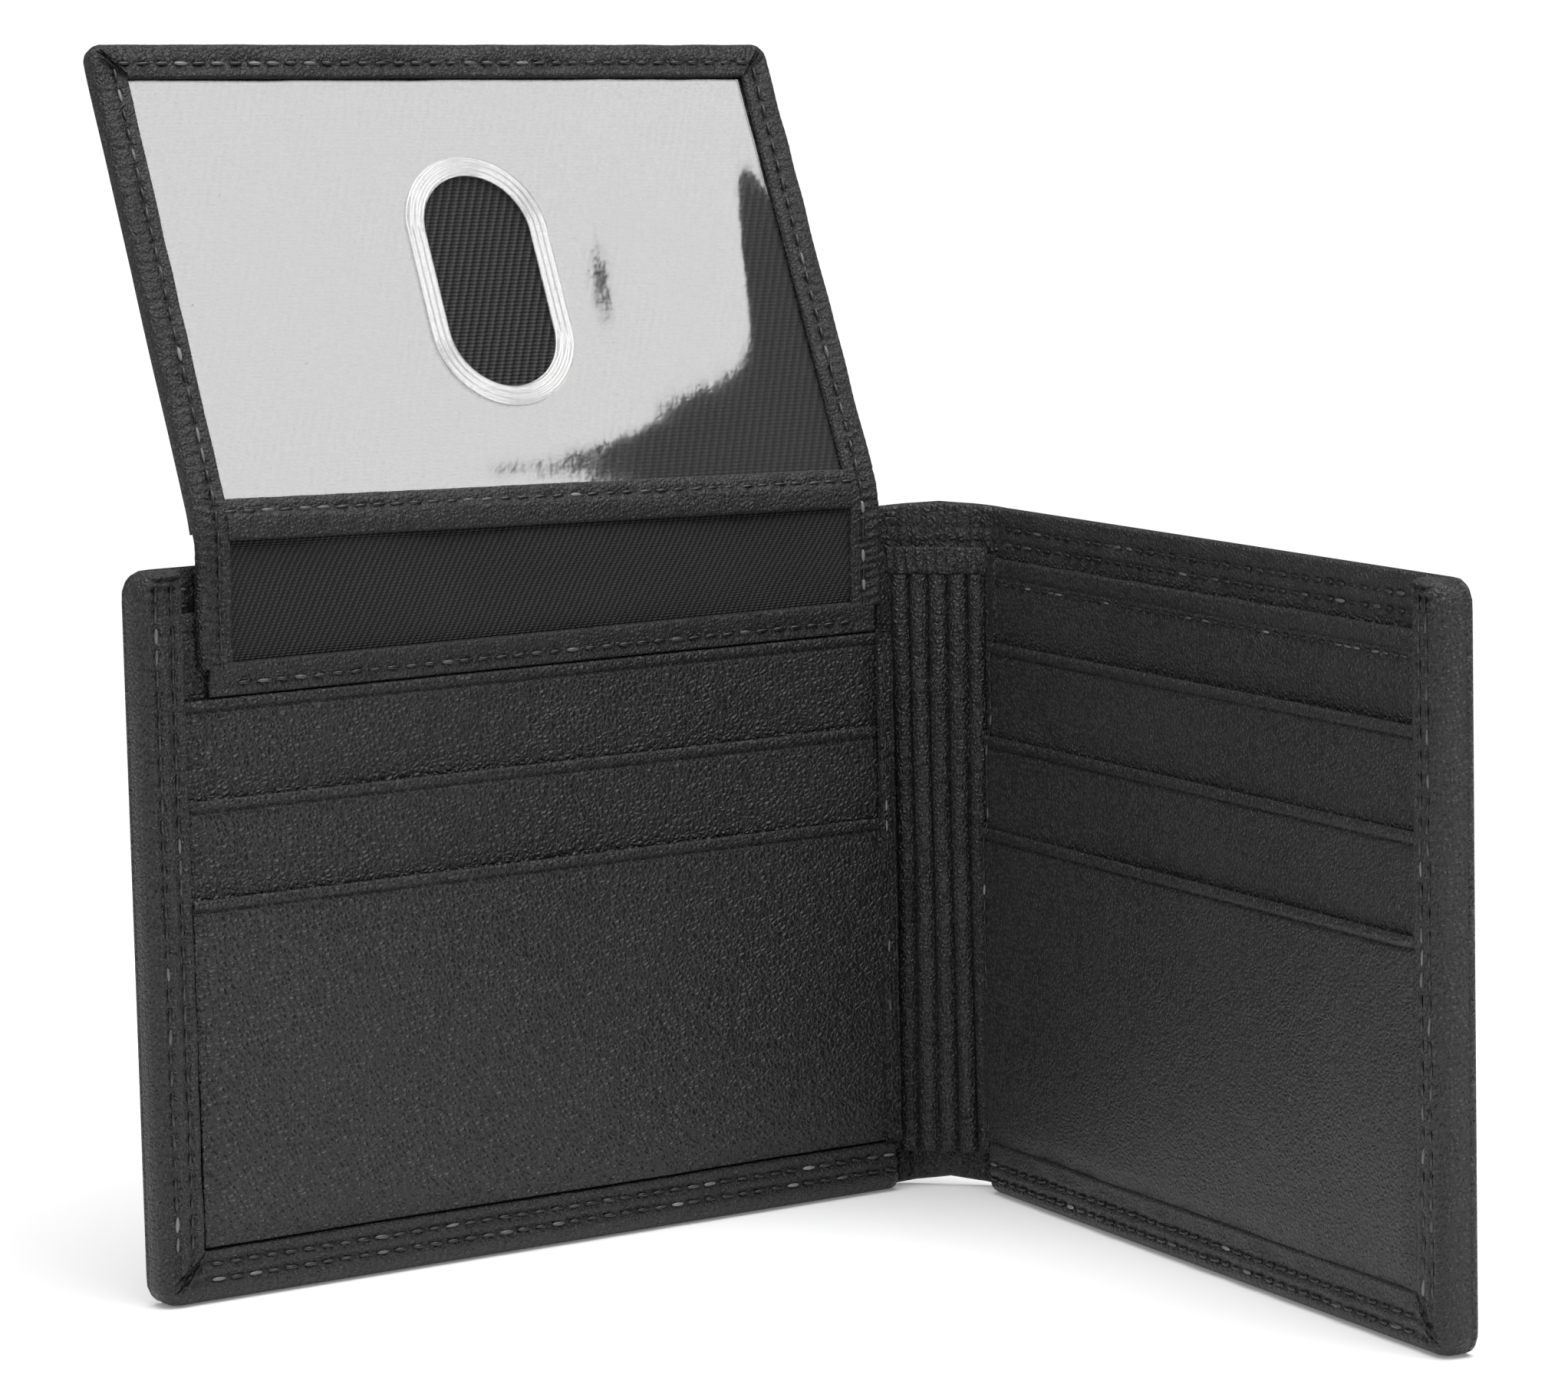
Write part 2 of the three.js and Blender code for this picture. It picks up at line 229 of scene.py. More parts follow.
def sheet_solid(name, place, front, back, material, flat=None):
    """A closed sheet from its front and back faces: grids of local points with the same rows."""
    rows, columns = front.shape[:2]
    count = rows * columns
    index = np.arange(count).reshape(rows, columns)
    quads = np.stack([index[:-1, :-1], index[:-1, 1:], index[1:, 1:], index[1:, :-1]], -1)
    quads = quads.reshape(-1, 4)
    rim = np.concatenate([index[0, :-1], index[:-1, -1], index[-1, :0:-1], index[:0:-1, 0]])
    after = np.roll(rim, -1)
    wall = np.stack([rim, rim + count, after + count, after], -1)
    faces = np.concatenate([quads[:, ::-1], quads + count, wall])
    points = place.put(np.concatenate([front.reshape(-1, 3), back.reshape(-1, 3)]))
    if flat is not None:
        flat = np.concatenate([flat.reshape(-1, 2)] * 2)
    return mesh_object(name, points, faces.tolist(), material, flat)


def loft(name, place, sections, material, ring=False):
    """A closed solid through sections, which are rings of local points.

    Its ends are capped, unless ring says that the last section joins the first.
    """
    count, around = sections.shape[:2]
    index = np.arange(count * around).reshape(count, around)
    turned = np.roll(index, -1, axis=1)
    ahead = np.roll(index, -1, axis=0)
    ahead_turned = np.roll(turned, -1, axis=0)
    quads = np.stack([index, turned, ahead_turned, ahead], -1)
    faces = (quads if ring else quads[:-1]).reshape(-1, 4).tolist()
    if not ring:
        faces += [index[0, ::-1].tolist(), index[-1].tolist()]
    return mesh_object(name, place.put(sections.reshape(-1, 3)), faces, material)


def slab(name, place, xs, ys, zs, material, step=1.2, radius=None, shape=None, corners=None,
         flat=False, extra_z=(), round_ends=(True, True), round_start=True):
    """A sheet between two values on each axis, with rounded edges.

    shape(x, z) is how far its front stands out of the plane there, and the back goes along with
    it. corners are the outline's corner radii: lower start, lower end, upper end, upper start.
    round_ends says whether the lower and the upper edge are rounded, or cut for a neighbour,
    and round_start the same of the edge where x starts.
    """
    radius = radius or 0.48 * abs(ys[1] - ys[0])
    x = lines(*xs, step, edge=max(radius, 0.4))
    z = lines(*zs, step, edge=max(radius, 0.4), extra=extra_z)
    x, z = np.meshgrid(x, z)
    far = 1e3
    depth = np.minimum.reduce([x - xs[0] + far * (not round_start), xs[1] - x,
                               z - zs[0] + far * (not round_ends[0]),
                               zs[1] - z + far * (not round_ends[1])])
    if corners:
        x, z, depth = round_corners(x, z, xs, zs, corners, depth)
    raised = shape(x, z) if shape else 0
    fallen = drop(depth, radius)
    front = np.stack([x, ys[1] - fallen + raised, z], -1)
    back = np.stack([x, ys[0] + fallen + raised, z], -1)
    uv = np.stack([x, z], -1) if flat else None
    return sheet_solid(name, place, front, back, material, uv)


def round_corners(x, z, xs, zs, radii, depth):
    """Moves a rectangle's grid so that its corners become arcs, and gives the depth inside them."""
    ends = [(0, 0), (1, 0), (1, 1), (0, 1)]
    for (end_x, end_z), radius in zip(ends, radii):
        if not radius:
            continue
        turn_x, turn_z = 2 * end_x - 1, 2 * end_z - 1
        middle_x, middle_z = xs[end_x] - turn_x * radius, zs[end_z] - turn_z * radius
        a, b = (x - middle_x) * turn_x / radius, (z - middle_z) * turn_z / radius
        inside = (a > 0) & (b > 0)
        reach = np.maximum(a, b)
        small = np.minimum(a, b) / np.where(reach > 0, reach, 1)
        angle = np.where(a >= b, small, 2 - small) * math.pi / 4
        x = np.where(inside, middle_x + turn_x * radius * reach * np.cos(angle), x)
        z = np.where(inside, middle_z + turn_z * radius * reach * np.sin(angle), z)
        depth = np.where(inside, radius * (1 - reach), depth)
    return x, z, depth


def finish_piece(piece, body, slot, *nodes):
    """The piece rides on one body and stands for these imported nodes."""
    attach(piece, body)
    if nodes:
        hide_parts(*nodes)
    return piece


def bend_piece(piece, bodies, start, end, slot, *nodes):
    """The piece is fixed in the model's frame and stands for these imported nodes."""
    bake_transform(piece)
    if nodes:
        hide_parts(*nodes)
    return piece


# ---- materials ----
def srgb(code):
    """A hex colour as the linear colour that shaders take."""
    parts = [int(code[i:i + 2], 16) / 255 for i in (0, 2, 4)]
    return [c / 12.92 if c <= 0.04045 else ((c + 0.055) / 1.055) ** 2.4 for c in parts] + [1]


def add(tree, kind, settings=None, **inputs):
    """Adds a node. settings are its properties; inputs are values or the sockets that feed it."""
    made = tree.nodes.new(kind)
    for key, value in (settings or {}).items():
        setattr(made, key, value)
    for key, value in inputs.items():
        name = int(key[1:]) if key[1:].isdigit() else key.replace("_", " ")
        socket = made.inputs[name]
        if isinstance(value, bpy.types.NodeSocket):
            tree.links.new(value, socket)
        else:
            socket.default_value = value
    return made


def new_material(name):
    """An empty node material and its tree."""
    made = bpy.data.materials.new(name)
    made.use_nodes = True
    made.node_tree.nodes.clear()
    return made, made.node_tree


def per_metre(millimetres):
    """A texture scale in metres whose pattern repeats about every so many millimetres."""
    return 1000 / millimetres


def bands(millimetres):
    """A wave texture's scale for one band in so many millimetres of a sheet's UV."""
    return TAU / 20 * 100 / millimetres


SMOOTH = {"interpolation_type": "SMOOTHSTEP"}      # a Map Range from 0 to 1 with soft ends
COLOURS = {"data_type": "RGBA"}                    # a Mix of colours: i0 share, i6 and i7 colours
TIMES_PLUS = {"operation": "MULTIPLY_ADD"}         # i0 times i1 plus i2


def shade_leather(name, dark, light, grain, relief, gloss, hair=1.0):
    """Chrome-tanned cowhide, dyed through in black and lightly plated.

    grain is the size of its pebbles in millimetres, relief how deep the creases between them
    are, gloss the roughness of the pebbles' tops, and hair how strong the hair pits are. The
    creases are painted darker, a painted shade, and are duller; soft clouds show where the dye
    and handling differ, and long faint draws cross the hide.
    """
    made, tree = new_material(name)
    place = add(tree, "ShaderNodeTexCoord").outputs["Object"]
    warp = add(tree, "ShaderNodeTexNoise", Vector=place, Scale=per_metre(grain * 2.4), Detail=2.0)
    moved = add(tree, "ShaderNodeVectorMath", {"operation": "MULTIPLY_ADD"},
                i0=warp.outputs["Color"], i1=[grain * 0.0012] * 3, i2=place).outputs[0]
    pebbles = add(tree, "ShaderNodeTexVoronoi", {"feature": "DISTANCE_TO_EDGE"},
                  Vector=moved, Scale=per_metre(grain)).outputs["Distance"]
    tops = add(tree, "ShaderNodeMapRange", SMOOTH, Value=pebbles, From_Min=0.0,
               From_Max=0.4).outputs["Result"]
    hairs = add(tree, "ShaderNodeTexNoise", Vector=place, Scale=per_metre(grain * 0.8),
                Detail=3.0, Roughness=0.6).outputs["Fac"]
    draws = add(tree, "ShaderNodeTexNoise", Vector=place, Scale=per_metre(9.0), Detail=5.0,
                Roughness=0.6, Distortion=1.4).outputs["Fac"]
    clouds = add(tree, "ShaderNodeTexNoise", Vector=place, Scale=per_metre(26.0), Detail=3.0,
                 Roughness=0.55).outputs["Fac"]
    # height: the draws are deepest, then the pebbles, and the hair pits roughen them
    height = add(tree, "ShaderNodeMath", TIMES_PLUS, i0=draws, i1=1.1, i2=0.0).outputs[0]
    height = add(tree, "ShaderNodeMath", TIMES_PLUS, i0=hairs, i1=0.6 * hair,
                 i2=height).outputs[0]
    height = add(tree, "ShaderNodeMath", TIMES_PLUS, i0=tops, i1=0.62, i2=height).outputs[0]
    bump = add(tree, "ShaderNodeBump", Height=height, Strength=relief, Distance=0.0004)
    cloudy = add(tree, "ShaderNodeMapRange", SMOOTH, Value=clouds, From_Min=0.32,
                 From_Max=0.7).outputs["Result"]
    tone = add(tree, "ShaderNodeMix", COLOURS, i0=cloudy, i6=srgb(dark),
               i7=srgb(light)).outputs[2]
    # painted shade: the creases between the pebbles are mixed towards near black
    shade = add(tree, "ShaderNodeMath", TIMES_PLUS, i0=tops, i1=0.8, i2=0.2).outputs[0]
    painted_crease_shade = add(tree, "ShaderNodeMix", COLOURS, i0=shade, i6=srgb("060607"),
                  i7=tone).outputs[2]
    handled = add(tree, "ShaderNodeMath", TIMES_PLUS, i0=cloudy, i1=0.08,
                  i2=gloss + 0.08).outputs[0]
    roughness = add(tree, "ShaderNodeMath", TIMES_PLUS, i0=tops, i1=-0.1, i2=handled).outputs[0]
    shader = add(tree, "ShaderNodeBsdfPrincipled", Base_Color=painted_crease_shade, Roughness=roughness,
                 Normal=bump.outputs[0], IOR=1.5, Specular_IOR_Level=0.5, Coat_Weight=0.1,
                 Coat_Roughness=0.34, Sheen_Weight=0.03, Sheen_Roughness=0.5)
    add(tree, "ShaderNodeOutputMaterial", Surface=shader.outputs[0])
    return made


def shade_twill(name, rib, lean):
    """Filament-rayon twill: steep ribs of spun yarn, rib millimetres apart along the sheet's UV.

    Each rib's crown carries a painted highlight and its valleys painted shade, short floats
    break it up, and a few specks are light grey. The ribs are drawn about twice as coarse as
    real ones, so that they show.
    """
    made, tree = new_material(name)
    flat = add(tree, "ShaderNodeUVMap", {"uv_map": "UVMap"}).outputs[0]
    turned = add(tree, "ShaderNodeMapping", Vector=flat, Rotation=(0, 0, math.radians(lean)))
    uneven = add(tree, "ShaderNodeTexNoise", Vector=flat, Scale=100 / 6.0, Detail=2.0)
    wave = add(tree, "ShaderNodeTexWave", {"wave_type": "BANDS", "bands_direction": "X"},
               Vector=turned.outputs[0], Scale=bands(rib), Distortion=0.6,
               Detail=1.0, Detail_Scale=3.0).outputs["Fac"]
    floats = add(tree, "ShaderNodeTexWave", {"wave_type": "BANDS", "bands_direction": "Y"},
                 Vector=flat, Scale=bands(rib * 0.45), Distortion=0.8,
                 Detail=2.0).outputs["Fac"]
    fibres = add(tree, "ShaderNodeTexNoise", Vector=flat, Scale=100 / 0.35, Detail=4.0,
                 Roughness=0.7).outputs["Fac"]
    weave = add(tree, "ShaderNodeMath", TIMES_PLUS, i0=fibres, i1=0.3, i2=0.0).outputs[0]
    weave = add(tree, "ShaderNodeMath", TIMES_PLUS, i0=floats, i1=0.34, i2=weave).outputs[0]
    weave = add(tree, "ShaderNodeMath", TIMES_PLUS, i0=wave, i1=0.8, i2=weave).outputs[0]
    bump = add(tree, "ShaderNodeBump", Height=weave, Strength=0.9, Distance=0.0003)
    # painted highlight on the ribs' crowns and painted shade in the valleys between them
    painted_crest_light = add(tree, "ShaderNodeMapRange", SMOOTH, Value=weave, From_Min=0.55,
                From_Max=1.3).outputs["Result"]
    crown = add(tree, "ShaderNodeMix", COLOURS, i0=painted_crest_light, i6=srgb("050506"),
                i7=srgb("363638")).outputs[2]
    worn = add(tree, "ShaderNodeMath", TIMES_PLUS, i0=uneven.outputs["Fac"], i1=0.25,
               i2=0.0).outputs[0]
    aged = add(tree, "ShaderNodeMix", COLOURS, i0=worn, i6=crown, i7=srgb("131316")).outputs[2]
    speck = add(tree, "ShaderNodeMapRange", SMOOTH, Value=fibres, From_Min=0.70,
                From_Max=0.80).outputs["Result"]
    colour = add(tree, "ShaderNodeMix", COLOURS, i0=speck, i6=aged, i7=srgb("7a7a7c")).outputs[2]
    shader = add(tree, "ShaderNodeBsdfPrincipled", Base_Color=colour, Roughness=0.62,
                 Normal=bump.outputs[0], Specular_IOR_Level=0.3, Sheen_Weight=0.06,
                 Sheen_Roughness=0.4)
    add(tree, "ShaderNodeOutputMaterial", Surface=shader.outputs[0])
    return made


def shade_satin():
    """Acetate lining: a close plain weave with a soft sheen, black, painted lighter where it bulges.

    Its threads are drawn several times as coarse as real ones, so that they show.
    """
    made, tree = new_material("acetate_satin_lining")
    flat = add(tree, "ShaderNodeUVMap", {"uv_map": "UVMap"}).outputs[0]
    warp = add(tree, "ShaderNodeTexWave", {"bands_direction": "X"}, Vector=flat,
               Scale=bands(0.5), Distortion=0.3).outputs["Fac"]
    weft = add(tree, "ShaderNodeTexWave", {"bands_direction": "Y"}, Vector=flat,
               Scale=bands(0.6), Distortion=0.3).outputs["Fac"]
    slack = add(tree, "ShaderNodeTexNoise", Vector=flat, Scale=100 / 14, Detail=3.0).outputs["Fac"]
    height = add(tree, "ShaderNodeMath", TIMES_PLUS, i0=slack, i1=0.8, i2=0.0).outputs[0]
    height = add(tree, "ShaderNodeMath", TIMES_PLUS, i0=weft, i1=0.4, i2=height).outputs[0]
    height = add(tree, "ShaderNodeMath", TIMES_PLUS, i0=warp, i1=0.3, i2=height).outputs[0]
    bump = add(tree, "ShaderNodeBump", Height=height, Strength=0.5, Distance=0.0001)
    # painted sheen: the cloth is mixed lighter where it bulges out
    painted_bulge_sheen = add(tree, "ShaderNodeMapRange", SMOOTH, Value=slack, From_Min=0.3,
                 From_Max=0.7).outputs["Result"]
    colour = add(tree, "ShaderNodeMix", COLOURS, i0=painted_bulge_sheen, i6=srgb("131316"),
                 i7=srgb("1e1e22")).outputs[2]
    roughness = add(tree, "ShaderNodeMath", TIMES_PLUS, i0=weft, i1=0.12, i2=0.36).outputs[0]
    shader = add(tree, "ShaderNodeBsdfPrincipled", Base_Color=colour, Roughness=roughness,
                 Normal=bump.outputs[0], Sheen_Weight=0.2, Sheen_Roughness=0.35)
    add(tree, "ShaderNodeOutputMaterial", Surface=shader.outputs[0])
    return made


def shade_thread():
    """Bonded polyester thread, black: a tight twist, and a painted highlight on some stitches."""
    made, tree = new_material("bonded_polyester_thread")
    place = add(tree, "ShaderNodeTexCoord").outputs["Object"]
    twist = add(tree, "ShaderNodeTexNoise", Vector=place, Scale=per_metre(0.3), Detail=3.0)
    bump = add(tree, "ShaderNodeBump", Height=twist.outputs["Fac"], Strength=0.6,
               Distance=0.00005)
    painted_glint = add(tree, "ShaderNodeAttribute", {"attribute_name": "painted_glint"}).outputs["Fac"]
    # painted highlight: stitches with a high level are mixed towards light grey
    colour = add(tree, "ShaderNodeMix", COLOURS, i0=painted_glint, i6=srgb("101011"),
                 i7=srgb("7c7c7c")).outputs[2]
    roughness = add(tree, "ShaderNodeMath", TIMES_PLUS, i0=twist.outputs["Fac"], i1=0.3,
                    i2=0.22).outputs[0]
    shader = add(tree, "ShaderNodeBsdfPrincipled", Base_Color=colour, Normal=bump.outputs[0],
                 Roughness=roughness, Specular_IOR_Level=0.6)
    add(tree, "ShaderNodeOutputMaterial", Surface=shader.outputs[0])
    return made


def shade_board():
    """Bonded fibre board: pale brown felted fibres that stiffen the covers."""
    made, tree = new_material("bonded_fibre_board")
    place = add(tree, "ShaderNodeTexCoord").outputs["Object"]
    fibres = add(tree, "ShaderNodeTexNoise", Vector=place, Scale=per_metre(1.2), Detail=6.0,
                 Roughness=0.7, Distortion=1.0).outputs["Fac"]
    bump = add(tree, "ShaderNodeBump", Height=fibres, Strength=0.5, Distance=0.0001)
    dense = add(tree, "ShaderNodeMapRange", SMOOTH, Value=fibres, From_Min=0.3,
                From_Max=0.7).outputs["Result"]
    colour = add(tree, "ShaderNodeMix", COLOURS, i0=dense, i6=srgb("6f6558"),
                 i7=srgb("9a8f7f")).outputs[2]
    roughness = add(tree, "ShaderNodeMath", TIMES_PLUS, i0=fibres, i1=0.1, i2=0.82).outputs[0]
    shader = add(tree, "ShaderNodeBsdfPrincipled", Base_Color=colour, Normal=bump.outputs[0],
                 Roughness=roughness)
    add(tree, "ShaderNodeOutputMaterial", Surface=shader.outputs[0])
    return made


def shade_vinyl(name, mirror, haze):
    """Calendered clear PVC: nearly all light goes through, and its gloss mirrors the room.

    mirror is the share that each face mirrors straight on. Fine rolling marks and dust keep
    the mirror image from being perfect.
    """
    made, tree = new_material(name)
    place = add(tree, "ShaderNodeTexCoord").outputs["Object"]
    marks = add(tree, "ShaderNodeTexNoise", Vector=place, Scale=per_metre(7.0), Detail=4.0,
                Roughness=0.6).outputs["Fac"]
    dust = add(tree, "ShaderNodeTexNoise", Vector=place, Scale=per_metre(0.5),
               Detail=3.0).outputs["Fac"]
    bump = add(tree, "ShaderNodeBump", Height=marks, Strength=0.12, Distance=0.00012)
    specks = add(tree, "ShaderNodeMapRange", SMOOTH, Value=dust, From_Min=0.70,
                 From_Max=0.76).outputs["Result"]
    roughness = add(tree, "ShaderNodeMath", TIMES_PLUS, i0=marks, i1=haze, i2=0.03).outputs[0]
    gloss = add(tree, "ShaderNodeBsdfAnisotropic", Color=srgb("ffffff"), Normal=bump.outputs[0],
                Roughness=roughness)
    tint = add(tree, "ShaderNodeMix", COLOURS, i0=specks, i6=srgb("f6f6f6"),
               i7=srgb("cbcbcb")).outputs[2]
    through = add(tree, "ShaderNodeBsdfTransparent", Color=tint)
    facing = add(tree, "ShaderNodeLayerWeight", Blend=0.5, Normal=bump.outputs[0])
    grazing = add(tree, "ShaderNodeMath", {"operation": "POWER"}, i0=facing.outputs["Facing"],
                  i1=4.0).outputs[0]
    share = add(tree, "ShaderNodeMath", TIMES_PLUS, i0=grazing, i1=0.6, i2=mirror).outputs[0]
    shader = add(tree, "ShaderNodeMixShader", i0=share, i1=through.outputs[0],
                 i2=gloss.outputs[0])
    add(tree, "ShaderNodeOutputMaterial", Surface=shader.outputs[0])
    return made


# name, darkest and lightest dye, then grain, relief, gloss and hair
grain_leather = shade_leather("black_pebbled_cowhide", "131314", "1b1b1c", 0.7, 1.0, 0.35)
# its dye is a little lighter than the pebbled cowhide's: painted light on the turned edges, lips and bindings
fold_leather = shade_leather("black_turned_cowhide", "151516", "1f1f20", 0.6, 1.0, 0.37, 1.4)
# glossier cowhide whose dye is painted lighter: painted light on the gusset's ribs and band
glossy_leather_painted_lighter = shade_leather("black_glossy_cowhide_painted_lighter", "1a1a1b", "272728", 0.6, 0.9, 0.26, 1.4)
soft_leather = shade_leather("black_nappa", "111112", "1b1b1c", 0.6, 0.85, 0.36, 0.9)
window_twill = shade_twill("rayon_twill_behind_the_window", 1.1, -24)
neck_twill = shade_twill("rayon_twill_of_the_neck", 0.7, -30)
satin_lining = shade_satin()
thread = shade_thread()
fibre_board = shade_board()
clear_vinyl = shade_vinyl("clear_pvc_window", 0.085, 0.03)
welded_vinyl = shade_vinyl("welded_pvc_rim", 0.15, 0.05)


# ---- stitches ----
def stitch_tree():
    """Lays stitches along a polyline: one rounded stitch in each pitch, a little uneven.

    Each stitch stores a random level of painted highlight from 0 to 1, which is near 1 on a
    few of them only.
    """
    tree = bpy.data.node_groups.new("lockstitches", "GeometryNodeTree")
    face = tree.interface
    face.new_socket("Geometry", in_out="INPUT", socket_type="NodeSocketGeometry")
    for name in ("Pitch", "Length", "Thickness"):
        face.new_socket(name, in_out="INPUT", socket_type="NodeSocketFloat")
    face.new_socket("Seed", in_out="INPUT", socket_type="NodeSocketInt")
    face.new_socket("Material", in_out="INPUT", socket_type="NodeSocketMaterial")
    face.new_socket("Geometry", in_out="OUTPUT", socket_type="NodeSocketGeometry")
    given = add(tree, "NodeGroupInput").outputs
    curve = add(tree, "GeometryNodeMeshToCurve", Mesh=given["Geometry"])
    spots = add(tree, "GeometryNodeResampleCurve", {"mode": "LENGTH"},
                Curve=curve.outputs[0], Length=given["Pitch"])
    half = add(tree, "ShaderNodeMath", {"operation": "MULTIPLY"}, i0=given["Length"], i1=0.5)
    size = add(tree, "ShaderNodeCombineXYZ", X=half.outputs[0], Y=given["Thickness"],
               Z=given["Thickness"])
    bead = add(tree, "GeometryNodeMeshUVSphere", Segments=8, Rings=6)
    lain = add(tree, "GeometryNodeTransform", Geometry=bead.outputs[0],
               Rotation=(0, math.pi / 2, 0))
    stitch = add(tree, "GeometryNodeTransform", Geometry=lain.outputs[0],
                 Scale=size.outputs[0])
    smooth = add(tree, "GeometryNodeSetShadeSmooth", Geometry=stitch.outputs[0])
    tangent = add(tree, "GeometryNodeInputTangent")
    wobble = add(tree, "FunctionNodeRandomValue", {"data_type": "FLOAT_VECTOR"},
                 Min=(-0.07,) * 3, Max=(0.07,) * 3, Seed=given["Seed"])
    heading = add(tree, "ShaderNodeVectorMath", i0=tangent.outputs[0], i1=wobble.outputs[0])
    turn = add(tree, "FunctionNodeAlignRotationToVector", {"axis": "X"},
               Vector=heading.outputs[0])
    swell = add(tree, "FunctionNodeRandomValue", {"data_type": "FLOAT_VECTOR"},
                Min=(0.86, 0.8, 0.8), Max=(1.08, 1.15, 1.15), Seed=given["Seed"])
    laid = add(tree, "GeometryNodeInstanceOnPoints", Points=spots.outputs[0],
               Instance=smooth.outputs[0], Rotation=turn.outputs[0], Scale=swell.outputs[0])
    luck = add(tree, "FunctionNodeRandomValue", {"data_type": "FLOAT"}, Seed=given["Seed"])
    # painted highlight level, high on a few stitches only
    painted_glint_level = add(tree, "ShaderNodeMath", {"operation": "POWER"}, i0=luck.outputs["Value"],
                 i1=10.0)
    marked = add(tree, "GeometryNodeStoreNamedAttribute",
                 {"data_type": "FLOAT", "domain": "INSTANCE"}, Geometry=laid.outputs[0],
                 Name="painted_glint", Value=painted_glint_level.outputs[0])
    real = add(tree, "GeometryNodeRealizeInstances", Geometry=marked.outputs[0])
    dressed = add(tree, "GeometryNodeSetMaterial", Geometry=real.outputs[0],
                  Material=given["Material"])
    add(tree, "NodeGroupOutput", Geometry=dressed.outputs[0])
    return tree


lockstitches = stitch_tree()


def sew(name, runs, seed, length=1.9, thickness=0.25, pitch=PITCH):
    """One mesh of stitches along runs: pairs of a place and the local points of a polyline."""
    points, edges = [], []
    for place, path in runs:
        path = np.asarray(path, float)
        start = len(points)
        points += [tuple(p) for p in place.put(path)]
        edges += [(start + i, start + i + 1) for i in range(len(path) - 1)]
    mesh = bpy.data.meshes.new(name + "_line")
    mesh.from_pydata(points, edges, [])
    line = bpy.data.objects.new(name + "_line", mesh)
    bpy.context.scene.collection.objects.link(line)
    laid = line.modifiers.new("lockstitches", "NODES")
    laid.node_group = lockstitches
    sizes = {"Pitch": pitch * MM, "Length": length * MM, "Thickness": thickness * MM,
             "Seed": seed, "Material": thread}
    for item in lockstitches.interface.items_tree:
        if item.in_out == "INPUT" and item.name in sizes:
            laid[item.identifier] = sizes[item.name]
    made = bpy.data.meshes.new_from_object(
        line.evaluated_get(bpy.context.evaluated_depsgraph_get()))
    bpy.data.objects.remove(line)
    piece = bpy.data.objects.new(name, made)
    bpy.context.scene.collection.objects.link(piece)
    return piece


# ---- shell: covers, hems, spine ----
def seam_dip(across, seam, depth, width=0.42):
    """The groove that a row of stitches presses into leather, at a distance across it."""
    return depth * np.exp(-((across - seam) / width) ** 2)


# what differs between the panels: seams are counted from the hinge, and from the lower edge
SIDES = {
    "left": {"place": LEFT, "side_seams": (105.6, 107.8), "bottom_seams": (3.0, 4.9),
             "leather": grain_leather, "slot": "grain_leather", "seed": 11},
    "right": {"place": RIGHT, "side_seams": (105.6, 107.4), "bottom_seams": (2.2, 4.1),
              "leather": soft_leather, "slot": "soft_leather", "seed": 12},
}
cover_low, cover_high = LEFT.span("left_cover")
PANEL = cover_high[0]
HEIGHT = cover_high[2]
COVER_BACK = cover_low[1]
hem_low, hem_high = LEFT.span("left_top_hem")


def cover_unevenness(seed):
    """The cover waves gently where nothing holds it."""
    def shape(x, z):
        away = np.minimum(ease(x, CREASE_END, 16), ease(PANEL - x, 0, 5))
        return away * 0.22 * ripples(x, z, seed, 45) * ease(z, 0, 6) * ease(HEIGHT - z, 0, 6)
    return shape


def make_cover(side):
    """The flat of a cover, over its hidden board."""
    facts = SIDES[side]
    piece = slab(f"{side}_cover_leather", facts["place"], (CREASE_END, PANEL),
                 (COVER_BACK, COVER_BACK + 1.5), (0, HEIGHT), grain_leather, step=1.5,
                 radius=0.72, shape=cover_unevenness(facts["seed"]),
                 corners=(0, COVER_CORNER, COVER_CORNER, 0), round_start=False)
    finish_piece(piece, f"{side}_panel", "grain_leather", f"{side}_cover")


def make_hem(side):
    """The cover's leather turned in over the top, with two rows of stitches through it."""
    facts = SIDES[side]
    seams = [HEIGHT - below for below in HEM_SEAMS]

    def shape(x, z):
        pleats = 0.10 * np.sin(TAU * x / 3.1 + 2 * np.sin(x / 5)) * ease(12 - x, 0, 9)
        wavy = 0.10 * ripples(x, z * 2, facts["seed"] + 3, 12)
        dips = sum(seam_dip(z, seam, 0.22) for seam in seams)
        return pleats + wavy * ease(HEIGHT - z, 0, 2) - dips
    piece = slab(f"{side}_turned_top_hem", facts["place"], (CREASE_END, PANEL - COVER_CORNER),
                 (COVER_BACK + 0.9, hem_high[1]), (hem_low[2] - 1.5, HEIGHT), fold_leather,
                 step=0.5, radius=0.5, shape=shape, round_start=False,
                 extra_z=[s + d for s in seams for d in (-0.4, -0.2, 0, 0.2, 0.4)])
    finish_piece(piece, f"{side}_panel", "grain_leather", f"{side}_top_hem")
    x = np.arange(4.5, PANEL - 2.5, 0.5)
    runs = [(facts["place"], np.stack([x, np.full_like(x, hem_high[1] - 0.08)
                                       + 0.1 * np.sin(x), np.full_like(x, seam)], -1))
            for seam in seams]
    stitches = sew(f"{side}_hem_stitches", runs, facts["seed"] + 20)
    finish_piece(stitches, f"{side}_panel", "thread", f"{side}_hem_stitching")


